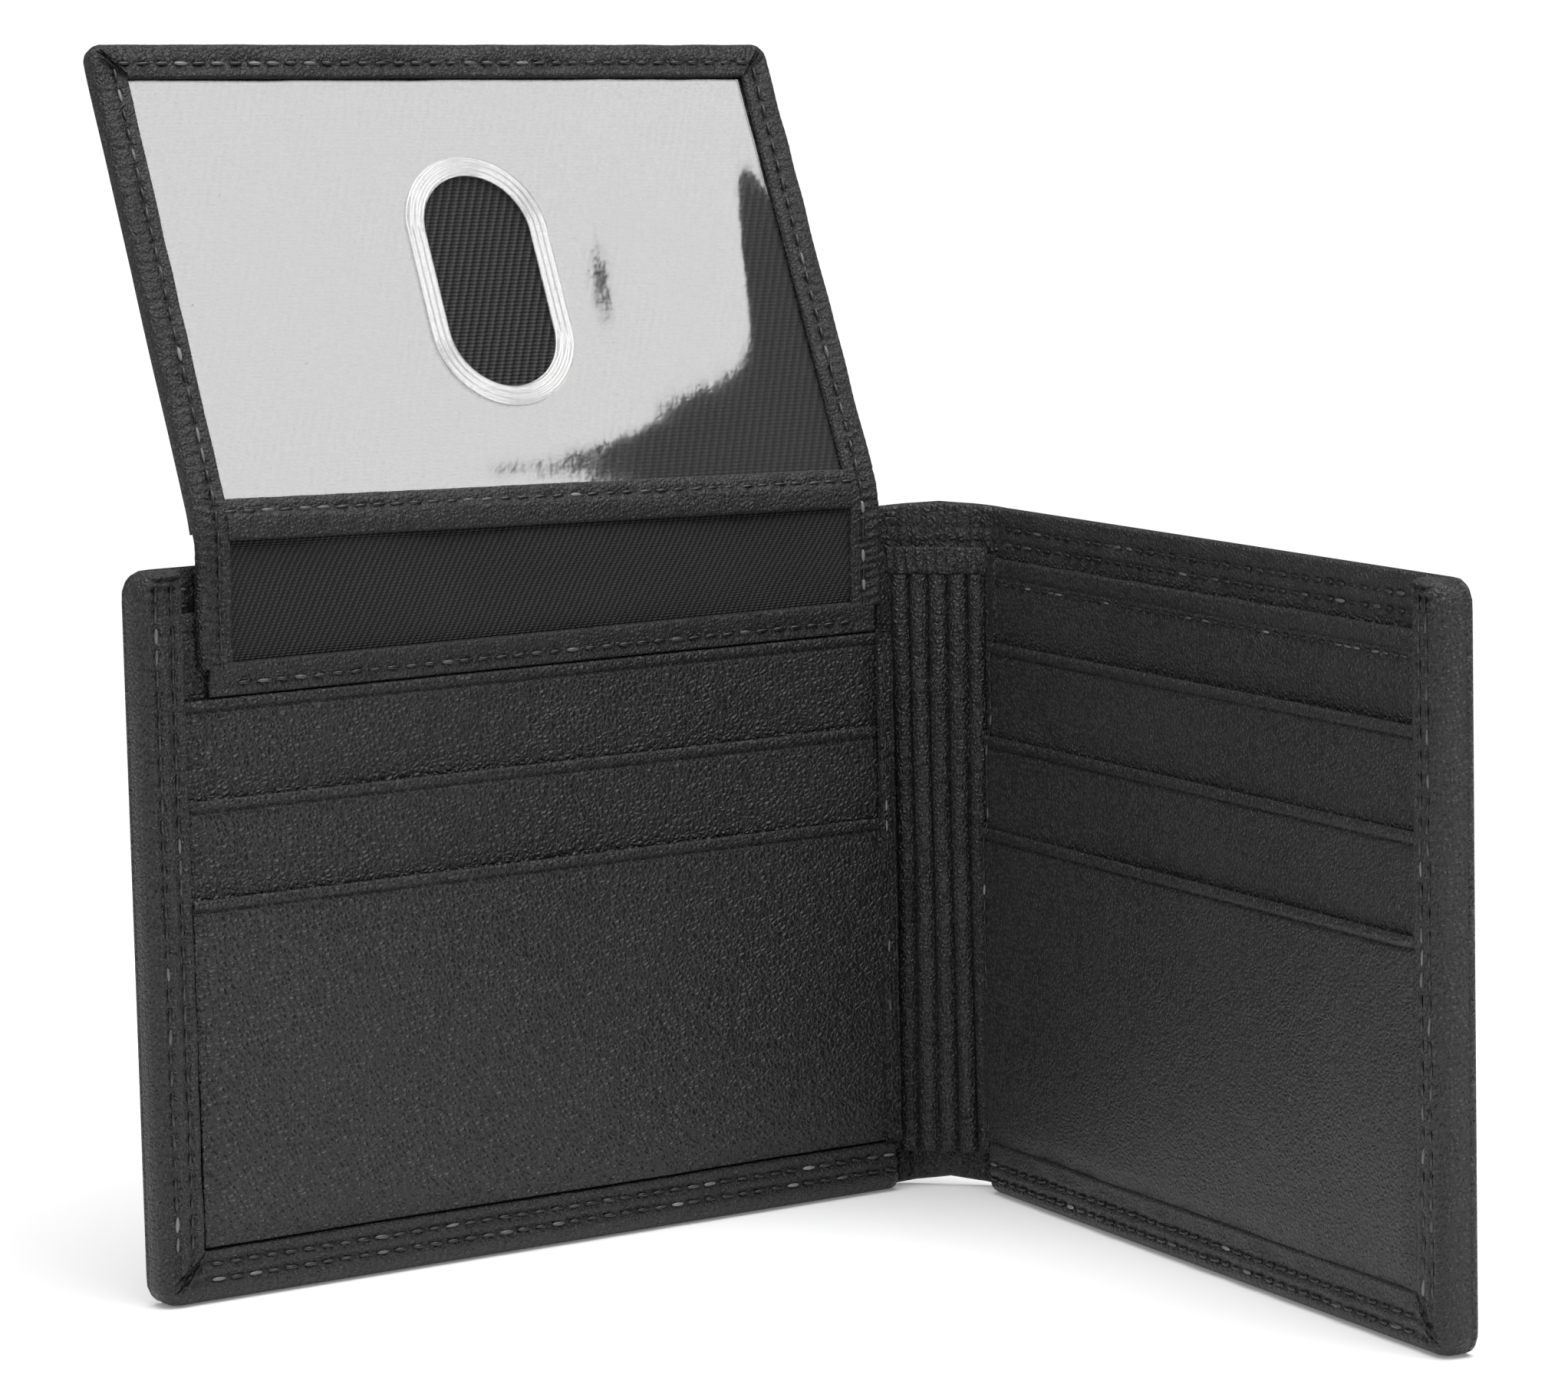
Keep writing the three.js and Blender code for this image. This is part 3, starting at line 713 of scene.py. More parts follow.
def make_lining(side):
    """The bill compartment's lining, on the inside of the cover."""
    place = SIDES[side]["place"]
    low, high = place.span(f"{side}_bill_lining")
    seed = SIDES[side]["seed"] + 40
    piece = slab(f"{side}_satin_lining", place, (low[0], high[0]), (low[1], high[1]),
                 (low[2], high[2]), satin_lining, step=2.0, flat=True,
                 shape=lambda x, z: 0.05 * ripples(x, z, seed, 18))
    finish_piece(piece, f"{side}_panel", "satin_lining", f"{side}_bill_lining")


def crease_path(side, offset):
    """Half of the shell across its crease, seen from above, at a distance out of its surface.

    It goes from the middle of the spine round the hinge to the flat of the panel, as points
    (x, y) of the spine's frame in millimetres.
    """
    place, sign = SIDES[side]["place"], -1 if side == "left" else 1
    hinge = (place.origin - SPINE.origin) @ SPINE.axes.T / MM
    out = place.axes[1] @ SPINE.axes.T
    along = place.axes[0] @ SPINE.axes.T
    start = np.array([0, offset])
    corner_spine = np.array([hinge[0] - sign * CREASE_REACH, offset])
    corner_panel = hinge[:2] + along[:2] * CREASE_REACH + out[:2] * offset
    end = hinge[:2] + along[:2] * (CREASE_END + 0.05) + out[:2] * offset
    bend = meeting(corner_spine, np.array([1.0, 0]), corner_panel, along[:2])
    t = np.linspace(0, 1, 26)[:, None]
    curve = (1 - t) ** 2 * corner_spine + 2 * t * (1 - t) * bend + t**2 * corner_panel
    flat_part = start + (corner_spine - start) * np.linspace(0, 1, 14)[:-1, None]
    tail = corner_panel + (end - corner_panel) * np.linspace(0, 1, 3)[1:, None]
    return np.concatenate([flat_part, curve, tail])


def meeting(a, way_a, b, way_b):
    """Where two lines in a plane meet."""
    steps = np.linalg.solve(np.stack([way_a, -way_b], 1), b - a)
    return a + way_a * steps[0]


def make_crease(side):
    """The shell's leather between the middle of the spine and one panel, hems included."""
    outer = crease_path(side, COVER_BACK)
    inner = crease_path(side, hem_high[1])             # over the hems
    thin = crease_path(side, COVER_BACK + 1.0)         # and between them
    z = np.concatenate([lines(0, 7, 0.35, 0.5), lines(8, HEIGHT - 9, 2.0, 0.5),
                        lines(HEIGHT - 8, HEIGHT, 0.25, 0.5)])
    middle = np.linspace(1, 0, len(outer)) ** 1.5            # 1 at the spine's middle
    bow_up, bow_top = 1.3 * middle, 0.7 * middle             # both edges rise there
    hemmed = np.maximum(ease(z, HEIGHT - 7.4, HEIGHT - 7.0), 1 - ease(z, 5.0, 5.4))[:, None, None]
    fallen = np.maximum(drop(z, 0.85), drop(HEIGHT - z, 0.85))[:, None, None]
    toward = (inner - outer) / np.linalg.norm(inner - outer, axis=1, keepdims=True)
    span = inner[None] * hemmed + thin[None] * (1 - hemmed)
    distance = np.cumsum(np.r_[0, np.linalg.norm(np.diff(inner, axis=0), axis=1)])
    zs = z[:, None] / HEIGHT * (HEIGHT + bow_top - bow_up)[None] + bow_up[None]
    wrinkle = 0.16 * np.sin(TAU * distance / 1.7)[None] * (0.6 + 0.4 * np.sin(zs / 4))
    wrinkle *= np.minimum(1, ease(distance, 0.0, 2))[None] * ease(distance[-1] - distance, 0, 1.5)
    seams = sum(seam_dip(zs, HEIGHT - below, 0.2) for below in HEM_SEAMS)
    inside = span - toward[None] * (fallen + (wrinkle * (fallen[..., 0] < 0.3)
                                              + seams)[..., None])
    outside = outer[None] + toward[None] * fallen * np.ones_like(inside)
    faces = [np.concatenate([points, zs[..., None]], -1) for points in (inside, outside)]
    piece = sheet_solid(f"{side}_spine_crease", SPINE, *faces, grain_leather)
    place, sign = SIDES[side]["place"], 1 if side == "left" else -1
    start = place.origin + SPINE.axes[0] * sign * 3.0 * MM
    end = place.origin + place.axes[0] * CREASE_REACH * MM
    nodes = {"left": ("spine_cover", "spine_top_hem", "spine_bottom_hem"),
             "right": ("spine_lining",)}[side]
    bend_piece(piece, ("spine", f"{side}_panel"), start, end, "grain_leather", *nodes)


for name in SIDES:
    make_cover(name)
    make_hem(name)
    make_lining(name)
    make_crease(name)
    frame["nodes"][f"{name}_board"].data.materials.clear()
    frame["nodes"][f"{name}_board"].data.materials.append(fibre_board)


# ---- turned edges: one strip of leather folded round the bottom and the outer side ----
def edge_columns(side_width, bottom_width, start):
    """The outer edge's points and the free lip's points of the strip, from the spine on.

    The outline runs along the bottom, round the corner and up the side. Near the corner every
    column ends at the inner corner, which gathers the leather into pleats.
    """
    inner = np.array([PANEL - side_width, bottom_width])
    radius, step = COVER_CORNER, 0.32
    bottom = np.arange(start, PANEL - radius, step)
    turn = np.linspace(0, math.pi / 2, 40)[1:-1]
    side = np.arange(radius, HEIGHT - radius, step)
    over = np.linspace(0, math.radians(78), 22)[1:]
    outline = np.concatenate([
        np.stack([bottom, np.zeros_like(bottom)], -1),
        np.stack([PANEL - radius + radius * np.sin(turn), radius - radius * np.cos(turn)], -1),
        np.stack([np.full_like(side, PANEL), side], -1),
        np.stack([PANEL - radius + radius * np.cos(over),
                  HEIGHT - radius + radius * np.sin(over)], -1)])
    lip = np.stack([np.minimum(outline[:, 0], inner[0]), np.maximum(outline[:, 1], inner[1])], -1)
    lip[:, 1] = np.where(outline[:, 0] < inner[0], inner[1], lip[:, 1])
    lip[:, 0] = np.where(outline[:, 1] > inner[1], inner[0], lip[:, 0])
    return outline, lip


def edge_relief(facts, outline, run, reach, share):
    """How far the strip's front stands out over its width, and how far in its two seams lie.

    The strip is padded to a round crown, drawn in at each stitch, and gathered at both corners.
    """
    depth = share[None] * reach[:, None]
    along = run[:, None]
    on_side = ease(outline[:, 1] - (PANEL - outline[:, 0]), -1, 3)
    seams_in = (np.array([PANEL - seam for seam in facts["side_seams"]])[:, None] * on_side
                + np.array(facts["bottom_seams"])[:, None] * (1 - on_side))
    front = EDGE_TOP - 0.25 * ease(depth, 2.2, 6) - drop(depth, 2.3)
    pulled = 0.8 + 0.2 * np.cos(TAU * along / PITCH)
    for seam in seams_in:
        front -= 0.42 * pulled * np.exp(-((depth - seam[:, None]) / 0.5) ** 2)
    front += 0.09 * ripples(along, depth * 1.5, facts["seed"], 6.0) * ease(depth, 0.3, 2)
    front += 0.07 * np.sin(TAU * along / 1.15 + depth) * np.exp(-((depth - 1.4) / 1.1) ** 2)
    corner = np.exp(-(np.hypot(PANEL - outline[:, 0], outline[:, 1]) / 5.0) ** 2)
    angle = np.arctan2(outline[:, 1], PANEL - outline[:, 0])
    front += (0.30 * np.sin(angle * 13)[:, None] * corner[:, None]
              * ease(depth, 0.6, 3) * ease(share[None], 1.02, 0.7))
    top_corner = np.exp(-((HEIGHT - outline[:, 1]) / 3.6) ** 2)
    front += (0.26 * np.sin(run * 4.6)[:, None]
              * top_corner[:, None] * ease(depth, 0.5, 2))
    end_round = drop(run, 1.1) + drop(run[-1] - run, 1.6)
    front -= end_round[:, None] * 0.9
    front -= drop(reach[:, None] - depth, 0.5)
    front = np.maximum(front, LIP_FOOT + 0.2)
    front[:, 0] = np.minimum(front[:, 0], 1.5)
    return front, seams_in


def row_beside(outline, inward, inset, level):
    """A row of local points along an outline, so far inward of it and out of the surface."""
    at = outline + inward * inset
    return np.stack([at[:, 0], np.full(len(at), level), at[:, 1]], -1)


def make_turned_edge(side):
    """The strip's padded front, its round outer wall and the lip that rests on the panel."""
    facts = SIDES[side]
    low, high = facts["place"].span(f"{side}_bottom_edge")
    width = high[2] if side == "left" else RIGHT_FOOT
    outline, lip = edge_columns(SIDE_BORDER, width, low[0] - GUSSET_GAP)
    run = np.concatenate([[0], np.cumsum(np.linalg.norm(np.diff(outline, axis=0), axis=1))])
    reach = np.linalg.norm(lip - outline, axis=1)
    share = np.concatenate([np.linspace(0, 0.45, 16), np.linspace(0.47, 1, 26)])
    front, seams_in = edge_relief(facts, outline, run, reach, share)
    at = outline[:, None] + (lip - outline)[:, None] * share[None, :, None]
    top_face = np.stack([at[..., 0], front, at[..., 1]], -1)
    inward = (lip - outline) / reach[:, None]
    under = [(1.4, LIP_FOOT), (1.2, -0.45)]
    wall = [(0.32, -0.52), (0.05, -0.15), (-0.02, 0.4), (0.0, 1.0)]
    hidden = [row_beside(outline, inward, inset, level) for inset, level in under + wall]
    foot = row_beside(lip, inward, 0, LIP_FOOT)
    sections = np.concatenate([np.stack(hidden, 1), top_face, foot[:, None]], 1)
    piece = loft(f"{side}_turned_edge", facts["place"], sections, fold_leather)
    finish_piece(piece, f"{side}_panel", "grain_leather", f"{side}_side_edge",
                 f"{side}_bottom_edge")
    sew_edges(side, outline, lip, front, share, seams_in, reach, low[0])


def sew_edges(side, outline, lip, front, share, seams_in, reach, start):
    """Two rows of stitches that follow the strip from the spine to the panel's top."""
    facts = SIDES[side]
    runs = []
    for seam in seams_in:
        part = np.clip(seam / reach, 0, 0.97)
        at = outline + (lip - outline) * part[:, None]
        height = np.array([np.interp(p, share, row) for p, row in zip(part, front)])
        path = np.stack([at[:, 0], height + 0.1, at[:, 1]], -1)
        below = (outline[:, 0] < PANEL - 7.5) & (at[:, 0] > start + 1.5)
        beside = (outline[:, 1] > 7.5) & (at[:, 1] < HEIGHT - 2.6)
        runs += [(facts["place"], path[part]) for part in (below, beside)]
    stitches = sew(f"{side}_edge_stitches", runs, facts["seed"] + 5)
    finish_piece(stitches, f"{side}_panel", "thread", f"{side}_side_stitching",
                 f"{side}_bottom_stitching")


# ---- card pockets ----
def lip_shape(top, seed, edge_turn=LIP_TURN, soft=0.12):
    """A pocket's front near its mouth: a soft turned lip above a pressed crease line."""
    def shape(x, z):
        below = top - z
        crease = 0.30 * np.exp(-((below - edge_turn) / 0.26) ** 2)
        swell = 0.28 * np.exp(-((below - 0.65) / 0.42) ** 2)
        return swell - crease + soft * ripples(x, z, seed, 32) * ease(below, 0.5, 8)
    return shape


def near_lip(top, edge_turn=LIP_TURN):
    """Extra grid lines that a lip's pressed line needs."""
    return [top - edge_turn + d for d in (-0.5, -0.3, -0.15, 0, 0.15, 0.3, 0.5)]


def pocket_shape(slope, reach, is_front):
    """A pocket's face puffs out a little. The front one's rim is pressed down under the edges."""
    def shape(x, z):
        puff = 0.10 * np.sin(math.pi * np.clip((x - reach[0]) / (reach[1] - reach[0]), 0, 1))
        if not is_front:
            return slope(x, z) + 0.4 * puff
        pressed = np.clip(ease(reach[1] - x, 2.6, 0.2) + ease(z, 9.6, 7), 0, 1)
        return slope(x, z) - 0.42 * pressed + puff
    return shape


def make_pockets(side):
    """Three card pockets, each with its face lower and further out than the one behind it."""
    facts = SIDES[side]
    place = facts["place"]
    for row, name in enumerate(("upper", "middle", "front")):
        node = f"{side}_pocket_{name}"
        low, high = place.span(node)
        reach = (low[0] - GUSSET_GAP, high[0] + 0.15)
        slope = lip_shape(high[2], facts["seed"] + row)
        piece = slab(f"{side}_card_pocket_{name}", place, reach, (low[1], high[1]),
                     (low[2], high[2]), facts["leather"], step=1.0, radius=0.22,
                     shape=pocket_shape(slope, reach, name == "front"),
                     extra_z=near_lip(high[2]))
        finish_piece(piece, f"{side}_panel", facts["slot"], node)
    make_pocket_lining(side)


def make_pocket_lining(side):
    """The cloth behind the pockets, which they are sewn on."""
    facts = SIDES[side]
    place = facts["place"]
    low, high = place.span(f"{side}_pocket_backing")
    seed = facts["seed"] + 60
    backing = slab(f"{side}_pocket_lining", place, (low[0], high[0]), (low[1], high[1]),
                   (low[2], high[2]), satin_lining, step=2.5, flat=True,
                   shape=lambda x, z: 0.03 * ripples(x, z, seed, 20))
    finish_piece(backing, f"{side}_panel", "satin_lining", f"{side}_pocket_backing")


def make_divider(side):
    """The leather between the bill compartment and the cards, with a turned hem at its top."""
    facts = SIDES[side]
    place, node = facts["place"], f"{side}_divider"
    low, high = place.span(node)
    top = high[2]
    slope = lip_shape(top, facts["seed"] + 7, edge_turn=HEM_TURN, soft=0.08)

    def shape(x, z):
        seam = seam_dip(z, top - DIVIDER_SEAM, 0.16) if side == "right" else 0
        return slope(x, z) - seam
    piece = slab(f"{side}_divider_leather", place, (low[0] - GUSSET_GAP, high[0] + 0.1),
                 (low[1], high[1] + 0.1), (low[2], top), facts["leather"], step=1.0,
                 radius=0.24, shape=shape,
                 extra_z=near_lip(top, HEM_TURN) + near_lip(top, DIVIDER_SEAM))
    finish_piece(piece, f"{side}_panel", facts["slot"], node)


def make_divider_seam():
    """The right divider's hem seam, which turns down beside the spine."""
    low, high = RIGHT.span("right_divider")
    across = np.arange(low[0] + 1.2, high[0] - 0.4, 0.5)
    hem = np.stack([across, np.full_like(across, high[1] + 0.12),
                    np.full_like(across, high[2] - DIVIDER_SEAM)], -1)
    down = np.arange(high[2] - 5.0, low[2] + 2, -0.5)
    lips = [RIGHT.span(f"right_pocket_{row}")[1] for row in ("upper", "middle", "front")]
    out = np.full_like(down, high[1])
    for lip in lips:
        out = np.where(down < lip[2], lip[1], out)
    beside = np.stack([np.full_like(down, low[0] + 0.7), out + 0.08, down], -1)
    stitches = sew("right_divider_stitches", [(RIGHT, hem), (RIGHT, beside)], 71, length=1.5,
                   thickness=0.16, pitch=2.0)
    finish_piece(stitches, "right_panel", "thread")


def make_side_strip():
    """The narrow strip that binds the left pockets' ends beside the spine."""
    low, high = LEFT.span("left_pocket_side_strip")
    zs = (low[2] - 0.8, high[2])
    piece = slab("left_pocket_binding", LEFT, (low[0] - GUSSET_GAP, high[0] - 0.1),
                 (low[1] - 0.2, high[1] - 0.3), zs, grain_leather, step=0.4, radius=0.4,
                 shape=lambda x, z: 0.10 * ripples(x * 2, z, 31, 7) - 0.12 * ease(x, 3.0, 4.6))
    finish_piece(piece, "left_panel", "grain_leather", "left_pocket_side_strip")
    z = np.arange(zs[0] + 2, zs[1] - 1.5, 0.5)
    path = np.stack([np.full_like(z, high[0] - 0.9), np.full_like(z, high[1] - 0.2), z], -1)
    finish_piece(sew("left_binding_stitches", [(LEFT, path)], 72, 1.5, 0.15), "left_panel",
                 "thread")


for name in SIDES:
    make_turned_edge(name)
    make_pockets(name)
    make_divider(name)
make_divider_seam()
make_side_strip()


# ---- gusset: five ribs in front of the spine ----
def make_gusset():
    """Leather pressed into upright ribs, with a wrinkled band sewn over its top."""
    low, high = SPINE.span("ribbed_gusset")
    ribs, pitch, radius = 5, 2.5, 1.04
    half = ribs * pitch / 2
    x = np.linspace(-half, half, ribs * 20 + 1)
    across = ((x + half) % pitch) / pitch
    crown = np.sqrt(np.clip(1 - ((across - 0.5) / 0.47) ** 2, 0, 1)) * radius
    z = lines(low[2], high[2], 0.8, 0.4)
    xs, zs = np.meshgrid(x, z)
    fan = 1 + 0.03 * (1 - zs / high[2])
    crown = np.broadcast_to(crown, xs.shape)
    lively = crown * 0.05 * ripples(xs * 3, zs, 41, 16)
    end = drop(np.minimum(zs - low[2], high[2] - zs), 0.4)
    front = low[1] + 0.12 + crown + lively - end * crown
    back = np.full_like(front, low[1])
    sway = 0.12 * np.sin(zs / 13 + np.round(xs / pitch))
    grids = [np.stack([xs * fan + sway, y, zs], -1) for y in (front, back)]
    piece = sheet_solid("ribbed_leather_gusset", SPINE, *grids, glossy_leather_painted_lighter)
    finish_piece(piece, "spine", "soft_leather", "ribbed_gusset")

    low, high = SPINE.span("gusset_top_band")

    def wrinkled(x, z):
        return 0.16 * np.sin(TAU * x / 1.35 + 0.8 * np.sin(z)) + 0.06 * ripples(x, z, 42, 3)
    band = slab("gusset_band", SPINE, (low[0] - 0.4, high[0] + 0.4), (low[1] - 0.1, high[1]),
                (low[2] - 0.3, high[2] + 0.5), glossy_leather_painted_lighter, step=0.22, radius=0.42,
                shape=wrinkled)
    finish_piece(band, "spine", "soft_leather", "gusset_top_band")


def make_gusset_flap(side):
    """The gusset's plain edge, which reaches over to the panel's pockets beside the crease."""
    place, sign = SIDES[side]["place"], -1 if side == "left" else 1
    hinge = (place.origin - SPINE.origin) @ SPINE.axes.T / MM
    out, along = place.axes[1] @ SPINE.axes.T, place.axes[0] @ SPINE.axes.T
    start = np.array([sign * FLAP_START, 0.62])
    end = hinge[:2] + along[:2] * CREASE_REACH + out[:2] * 1.35
    middle = np.array([sign * 6.9, 0.7])
    t = np.linspace(0, 1, 18)[:, None]
    path = (1 - t) ** 2 * start + 2 * t * (1 - t) * middle + t**2 * end
    z = lines(*FLAP_HEIGHTS, 0.9, 0.4)
    heading = np.gradient(path, axis=0)
    normal = np.stack([-heading[:, 1], heading[:, 0]], -1) * -sign
    normal *= np.sign(normal[:, 1:2] + 1e-9)
    normal /= np.linalg.norm(normal, axis=1, keepdims=True)
    fallen = drop(np.minimum(z - z[0], z[-1] - z), 0.2)[:, None, None]
    lively = 0.08 * ripples(t[:, 0][None] * 9, z[:, None], 43 + sign, 8)[..., None]
    faces = []
    for offset, way in ((0.22, -1), (-0.22, 1)):
        flat_points = path[None] + normal[None] * (offset + way * fallen + lively)
        faces.append(np.concatenate([flat_points, np.broadcast_to(
            z[:, None, None], flat_points.shape[:2] + (1,))], -1))
    piece = sheet_solid(f"{side}_gusset_flap", SPINE, *faces, soft_leather)
    bend_piece(piece, ("spine", f"{side}_panel"), SPINE.put([sign * FLAP_START, 0.6, 44]),
               SPINE.put([end[0], end[1], 44]), "soft_leather")


make_gusset()
for name in SIDES:
    make_gusset_flap(name)


# ---- ID wing: strap, bindings, window ----
STRAP_PARTS = {
    "anchor": {"along": (ANCHOR_START, -FOLD_REACH), "ride": "left_panel"},
    "fold": {"along": (-FOLD_REACH, NECK_MIDDLE), "bend": ("left_panel", "wing_neck"),
             "turns": (-FOLD_REACH + 0.2, FOLD_REACH - 0.2)},
    "bend": {"along": (NECK_MIDDLE, WING_START), "bend": ("wing_neck", "id_wing"),
             "turns": (NECK_MIDDLE + 0.1, WING_START - 0.2)},
}
STRAP_NODES = {
    ("anchor", "inner"): "anchor_inner_binding", ("anchor", "outer"): "anchor_outer_binding",
    ("anchor", "twill"): "anchor_twill", ("fold", "inner"): "neck_inner_binding",
    ("fold", "outer"): "neck_outer_binding", ("fold", "twill"): "neck_twill",
}


def hold_strap_part(piece, part, slot, *nodes):
    """Rides the piece on the part's body, or fixes it in the model's frame where the part crosses a joint."""
    facts = STRAP_PARTS[part]
    if "ride" in facts:
        return finish_piece(piece, facts["ride"], slot, *nodes)
    start, end = facts["turns"]
    return bend_piece(piece, facts["bend"], STRAP.put([0, 0, start]), STRAP.put([0, 0, end]),
                      slot, *nodes)


def binding_height(across, along, side_seed):
    """The front of a binding or frame edge over its width: a soft crown with gathered leather."""
    puff = 0.95 + 0.4 * ease(along, 4, 12)
    crown = puff - 0.16 * ease(across, 1.4, WING_BORDER) - drop(across, 0.95)
    pull = 0.15 - 0.07 * ease(along, 6, 13)
    gathers = pull * np.sin(TAU * along / 1.25 + across + side_seed)
    gathers = gathers * np.exp(-((across - 2.0) / 1.6) ** 2)
    seam = 0.30 * (0.62 + 0.38 * np.cos(TAU * along / PITCH))
    return (crown + gathers + 0.07 * ripples(across * 2, along, side_seed, 5)
            - seam * np.exp(-((across - WING_BORDER * WING_SEAM) / 0.42) ** 2)
            - drop(WING_BORDER - across, 0.3))


def make_bindings():
    """Leather bindings down both edges of the strap, in one length for each body they cross."""
    depth = lines(0, WING_BORDER, 0.25, 0.5)
    for side, sign in (("inner", -1), ("outer", 1)):
        for part, facts in STRAP_PARTS.items():
            start, end = facts["along"]
            along = np.linspace(start, end, int((end - start) / 0.22) + 2)
            depths, alongs = np.meshgrid(depth, along)
            front = binding_height(depths, alongs, sign + 3)
            if part == "anchor":
                front = front - drop(alongs - start, 0.5)
            back = -0.25 - 0.95 * ease(along, 6, 12)
            x = sign * (WING_HALF - depths)
            over_twill = np.full_like(along, 0.12)
            rows = [(WING_BORDER, over_twill), (1.3, over_twill), (1.3, back), (0.45, back),
                    (0.12, back + 0.22), (0.0, back + 0.55)]
            hidden = [np.stack([np.full_like(along, sign * (WING_HALF - inset)), level, along], -1)
                      for inset, level in rows]
            sections = np.concatenate([np.stack([x, front, alongs], -1), np.stack(hidden, 1)], 1)
            piece = loft(f"{side}_binding_{part}", STRAP, sections, fold_leather)
            node = STRAP_NODES.get((part, side))
            hold_strap_part(piece, part, "grain_leather", *([node] if node else []))


def strap_ripple(x, along):
    """The strap's cloth is slack below the bend and bellies a little over the fold."""
    slack = ease(along, -9, -3) * ease(12 - along, 0, 5)
    belly = 0.35 * np.sin(math.pi * np.clip((along + 8) / 20, 0, 1)) * np.cos(x / 31)
    return slack * (belly + 0.16 * ripples(x * 0.4, along, 51, 9))


def make_twill():
    """The rayon twill that faces the whole strap, cut where it crosses from body to body."""
    half = WING_HALF - 1.7
    lengths = {part: facts["along"] for part, facts in STRAP_PARTS.items()}
    lengths["anchor"] = (STRAP_START + 0.5, -FOLD_REACH)
    lengths["wing"] = (WING_START, WING_TOP - 1.6)
    for part, (start, end) in lengths.items():
        material = window_twill if part == "wing" else neck_twill
        piece = slab(f"twill_{part}", STRAP, (-half, half), (-0.35, -0.05), (start, end), material,
                     step=0.8, radius=0.12, shape=strap_ripple, flat=True,
                     round_ends=(part == "anchor", part == "wing"))
        if part == "wing":
            finish_piece(piece, "id_wing", "twill", "wing_twill")
        else:
            node = STRAP_NODES.get((part, "twill"))
            hold_strap_part(piece, part, "twill", *([node] if node else []))


def make_anchor_strip():
    """The leather strip that sews the strap's foot to the left panel."""
    low, high = LEFT.span("anchor_strip")
    half = WING_HALF - 1.2
    top = high[2] - (fold_point[2] / MM)
    start = STRAP_START + 0.1
    seam = 2.5

    def shape(x, along):
        below = top - along
        return (0.26 * np.exp(-((below - 0.7) / 0.6) ** 2) - seam_dip(below, seam, 0.24, 0.4)
                + 0.05 * ripples(x, along * 2, 52, 7))
    piece = slab("anchor_leather_strip", STRAP, (-half, half), (0.12, 0.78), (start, top),
                 fold_leather, step=0.5, radius=0.3, shape=shape)
    finish_piece(piece, "left_panel", "grain_leather", "anchor_strip")
    x = np.arange(-half + 4.5, half - 4.5, 0.5)
    path = np.stack([x, np.full_like(x, 0.74), np.full_like(x, top - seam)], -1)
    finish_piece(sew("anchor_stitches", [(STRAP, path)], 73), "left_panel", "thread",
                 "anchor_stitching")


def make_trim():
    """The padded strip under the window, over the bend."""
    half = WING_HALF - WING_BORDER + 0.4
    start, end = 7.0, WING_START
    seam = 10.3

    def shape(x, along):
        share = np.clip((along - start) / (end - start), 0, 1)
        round_top = 0.5 * np.sin(math.pi * share) ** 0.8
        return (round_top + 0.06 * ripples(x, along * 2, 53, 5)
                + 0.05 * np.sin(TAU * x / 1.3 + along) * np.sin(math.pi * share)
                - seam_dip(along, seam, 0.28, 0.36))
    piece = slab("window_trim_leather", STRAP, (-half, half), (0.35, 0.95), (start, end),
                 fold_leather, step=0.4, radius=0.28, shape=shape)
    hold_strap_part(piece, "bend", "grain_leather", "window_trim")
    x = np.arange(-half + 0.6, half - 0.6, 0.5)
    path = np.stack([x, np.full_like(x, 1.17), np.full_like(x, seam)], -1)
    hold_strap_part(sew("trim_stitches", [(STRAP, path)], 74), "bend", "thread",
                    "trim_stitching")


